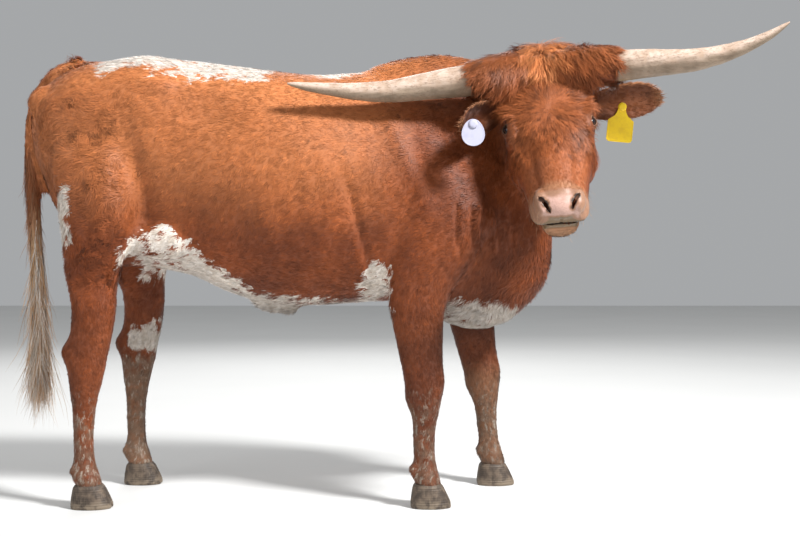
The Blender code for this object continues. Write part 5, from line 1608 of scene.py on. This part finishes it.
def curls(skin, fields, chance):
    """Longer, curly hair on the thighs and rump, and the tuft before the tail."""
    places = fields["place"]
    x, y, z = places.T
    clumps = noise(places, 17, 6) + 0.18 * patch(x, z, -0.84, -0.78, 0.66, 0.92, 0.03)
    thigh = patch(x, z, -0.85, -0.765, 0.61, 0.96, 0.025) * ramp(0.50, 0.62, clumps)
    rump = 0.8 * patch(x, z, -0.90, -0.78, 1.00, 1.12, 0.03) * ramp(0.48, 0.60, noise(places, 16, 9))
    tuft = 1.6 * patch(x, z, -0.93, -0.85, 1.165, 2.0, 0.02) * ramp(0.07, 0.05, np.abs(y))
    thick = (1 - fields["head"]) * (ramp(0.10, 0.14, np.abs(y)) * np.maximum(thigh, rump) + tuft)
    roots = rooted(skin, fields, thick, THIGH_HAIRS, 7)
    roots["lie"] = swung(roots["lie"], roots["normal"], rough(roots["place"], 30, 4) * 5.0)
    high = ramp(1.15, 1.17, roots["place"][:, 2])
    roots["size"] = stacked(0.026 + 0.004 * high, 0.0018, 0.62 + 0.12 * high)
    # the curls darkened: painted shade among them
    roots["places"][:, 1] = np.maximum(roots["places"][:, 1], 0.22 * (1 - high))
    look = {"stray": 0.6, "contrast": 0.26, "pull": 0.80, "spread": 0.10, "bend": 0.75, "wave": 0.18}
    return coat_pieces("coat_curls", roots, chance, 6, each=22, **look)


def given(places, normals, lie, length, width, lift, tones=(0, 0, 0)):
    """Roots at chosen places."""
    number = len(places)
    return {
        "place": places, "normal": normals, "lie": flattened(lie, normals),
        "size": stacked(np.broadcast_to(length, number), width, lift),
        "marks_and_highlight": np.zeros((number, 3)), "places": np.tile(np.array(tones, float), (number, 1)),
        "uv": np.full((number, 2), 0.5),
    }


def fine_hairs(fields, chance):
    """Lashes round the eyes and whiskers on the lips and chin."""
    sets = []
    for side in (-1, 1):
        place = np.array(eye_frame(side))
        turn, middle = place[:3, :3].T, place[:3, 3]
        upper = np.linspace(0.15, math.pi - 0.15, 60) + chance.normal(0, 0.03, 60)
        lower = np.linspace(0.2, math.pi - 0.2, 30)
        for angle, up, longest in ((upper, side, 0.020), (lower, -side, 0.010)):
            edge = stacked(0.0178 * np.cos(angle), up * 0.0113 * np.sin(angle), 0.0)
            on_lid = (EYE_RADIUS + LID_THICKNESS) ** 2 - edge[:, 0] ** 2 - edge[:, 1] ** 2
            edge[:, 2] = np.sqrt(np.maximum(on_lid, 0))
            away = stacked(np.cos(angle) * 0.5, up, 0.2)
            long = longest * chance.uniform(0.6, 1.2, len(angle))
            lash = edge @ turn + middle, lengthwise(edge) @ turn, away @ turn
            sets.append(given(*lash, long, 0.0006, 0.9, tones=(0, 0.45, 0)))
    u, v, w = fields["uvw"].T
    lips = (fields["head"] > 0.5) & (u > 0.37) & ((w < -0.125) | (np.abs(v) > 0.050)) & (w < -0.045)
    spots = chance.choice(np.nonzero(lips)[0], WHISKERS)
    ahead = np.tile(HEAD_TURN[:, 0], (WHISKERS, 1)) + chance.normal(0, 0.3, (WHISKERS, 3))
    long = chance.uniform(0.012, 0.042, WHISKERS)
    sets.append(given(fields["place"][spots], fields["normal"][spots], ahead, long, 0.0005, 0.85, tones=(0, 0, 0.9)))
    roots = {key: np.concatenate([one[key] for one in sets]) for key in sets[0]}
    look = {"pull": 0.0, "spread": 0.12, "sag": 0.12, "bend": 0.35}
    return coat_pieces("whiskers_and_lashes", roots, chance, 6, each=1, **look)


def make_switch():
    """The long hair of the tail, hanging from the end of its shaft."""
    chance = np.random.default_rng(31)
    rows = smooth_rows(TAIL, 200)
    start = 0.46 + (1.0 - 0.46) * chance.random(SWITCH_HAIRS) ** 2.4
    order = np.argsort(rows[:, 2])
    x, y, radius = (np.interp(start, rows[order, 2], rows[order, k]) for k in (0, 1, 3))
    radius = np.where(start < 0.60, 0.012, radius - 0.004)
    angle = chance.uniform(0, 2 * math.pi, SWITCH_HAIRS)
    out = stacked(np.cos(angle), np.sin(angle), 0.0)
    places = stacked(x, y, start) + out * radius[:, None]
    room = start - SWITCH_END - 0.012 + 0.03 * chance.random(SWITCH_HAIRS)
    long = np.minimum(0.10 + 0.16 * ramp(0.85, 0.62, start), room)
    down = np.tile([0.0, 0, -1], (SWITCH_HAIRS, 1))
    roots = given(places, out, down, long, 0.0016, 0.05 + 0.09 * ramp(0.85, 0.70, start))
    pale = ramp(0.92, 0.68, start) * 0.85 + 1.1 * (noise(out, 2.4, 8) - 0.35) * ramp(0.90, 0.75, start)
    roots["places"][:, 1] = 0.08 * ramp(0.70, 0.90, start)
    roots["places"][:, 2] = np.clip(pale + 0.15 * chance.random(SWITCH_HAIRS), 0, 0.95)
    roots["marks_and_highlight"][:, 0] = 0.9 * (chance.random(SWITCH_HAIRS) < 0.50 * ramp(0.84, 0.64, start))
    roots["marks_and_highlight"][:, 1] = 0.25 * ramp(0.75, 0.95, start)
    look = {"stray": 0.03, "pull": 0.55, "spread": 0.03, "bend": 0.9, "sink": 0.01, "wave": 0.03}
    return named(coat_pieces("switch", roots, chance, 7, each=24, **look)[0], "tail_switch_hair")


# The whole animal


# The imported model's nodes that the skin stands for
LEGS = "front_left", "front_right", "hind_left", "hind_right"
FLESH = ["torso", "neck", "head", "ear_left", "ear_right", "tail_dock", "tail_shaft"]
FLESH += ["leg_%s_%s" % (leg, part) for leg in LEGS for part in ("upper", "lower")]


def shown(obj, material, slot, *nodes):
    """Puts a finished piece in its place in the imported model."""
    obj.data.materials.clear()
    obj.data.materials.append(material)
    obj.data.transform(Matrix.Translation(SHIFT))
    link(obj)
    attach(obj, "root")
    if nodes:
        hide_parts(*nodes)


def make_parts():
    skin, near_head = whole_skin()
    unwrapped(skin)
    fields = fields_of(skin, near_head)
    for layer, key in STORED:
        values(skin, layer, fields[key])
    coat = make_coat(skin, fields)
    shown(skin, skin_finish(), "coat", *FLESH)
    fur = fur_finish("fur", 0.46)
    for piece in coat:
        shown(piece, fur, "coat")
    shown(make_switch(), fur_finish("long_hair", 0.45), "switch_hair", "tail_switch")
    horn, eye = horn_finish(), eye_finish()
    for side in (1, -1):
        shown(horn_form(side), horn, "horn", "horn_" + side_name(side))
        shown(eye_form(side), eye, "eye", "eye_" + side_name(side))
    yellow = tag_finish("tag_yellow", (0.95, 0.66, 0.015), (0.72, 0.44, 0.02))
    white = tag_finish("tag_white", (0.40, 0.40, 0.50), (0.31, 0.31, 0.41))
    shown(tag_form("left", left_plate()), yellow, "tag_yellow", "tag_left_panel")
    shown(tag_form("right", right_plate()), white, "tag_white", "tag_right_panel")
    shown(stud_form("left"), yellow, "tag_yellow", "tag_left_button")
    shown(stud_form("right"), white, "tag_white", "tag_right_button")
    claw = claw_finish()
    for where, foot, spread in (
        ("front_right", FRONT_RIGHT_FOOT, -LEG_SPREAD_FRONT),
        ("front_left", FRONT_LEFT_FOOT, LEG_SPREAD_FRONT),
        ("hind_right", HIND_RIGHT_FOOT, -LEG_SPREAD_HIND),
        ("hind_left", HIND_LEFT_FOOT, LEG_SPREAD_HIND),
    ):
        for side in (1, -1):
            own = "%s_%s" % (where, side_name(side))
            shown(claw_form("hoof_" + own, foot, spread, side), claw, "claw", "claw_" + own)


# Floor, light and camera


# The camera: how far from the animal's middle and how high it stands, in metres, then its measures in pixels
CAMERA_AWAY, CAMERA_HIGH = 3.5, 0.70
PICTURE_WIDTH, FOCAL_LENGTH, HORIZON_ABOVE_MIDDLE, SENSOR = 800, 1225, 18, 36


def make_studio():
    """A pale floor, a large soft key from the upper right, and weak fill."""
    bm = bmesh.new()
    bmesh.ops.create_grid(bm, x_segments=1, y_segments=1, size=12)
    floor = link(form_of("floor", bm))
    finish = Finish("floor", Roughness=0.85, Specular_IOR_Level=0.2)
    soft = finish.noise(finish.place(), 1.4, 3.0)
    floor.data.materials.append(finish.set(Base_Color=finish.mix(soft, (0.62, 0.62, 0.61), (0.66, 0.66, 0.65))))
    floor.data.transform(Matrix.Translation((0, 0, -0.0005)))
    scene = bpy.context.scene
    scene.world = bpy.data.worlds.new("studio")
    scene.world.use_nodes = True
    sky, strength = scene.world.node_tree.nodes["Background"].inputs[:2]
    sky.default_value, strength.default_value = (0.86, 0.88, 0.90, 1), 0.44
    middle = Vector((0.05, 0, 0.75)) + SHIFT
    for name, place, size, power in (
        ("key", (3.4, -2.8, 4.9), 1.0, 770),
        ("fill", (-3.8, -3.2, 2.6), 3.0, 60),
        ("back", (-0.6, 4.2, 3.4), 3.0, 110),
    ):
        light = link(bpy.data.objects.new(name, bpy.data.lights.new(name, "AREA")))
        light.data.size, light.data.energy, light.location = size, power, place
        light.rotation_euler = (middle - light.location).to_track_quat("-Z", "Y").to_euler()
    camera = link(bpy.data.objects.new("camera", bpy.data.cameras.new("camera")))
    camera.data.sensor_width = SENSOR
    camera.data.lens = FOCAL_LENGTH / PICTURE_WIDTH * SENSOR
    camera.location = Vector((0, -CAMERA_AWAY, CAMERA_HIGH)) + SHIFT
    camera.rotation_euler = (math.pi / 2 - math.atan(HORIZON_ABOVE_MIDDLE / FOCAL_LENGTH), 0, 0)
    scene.camera = camera
    scene.view_settings.view_transform = "Standard"


make_parts()
make_studio()
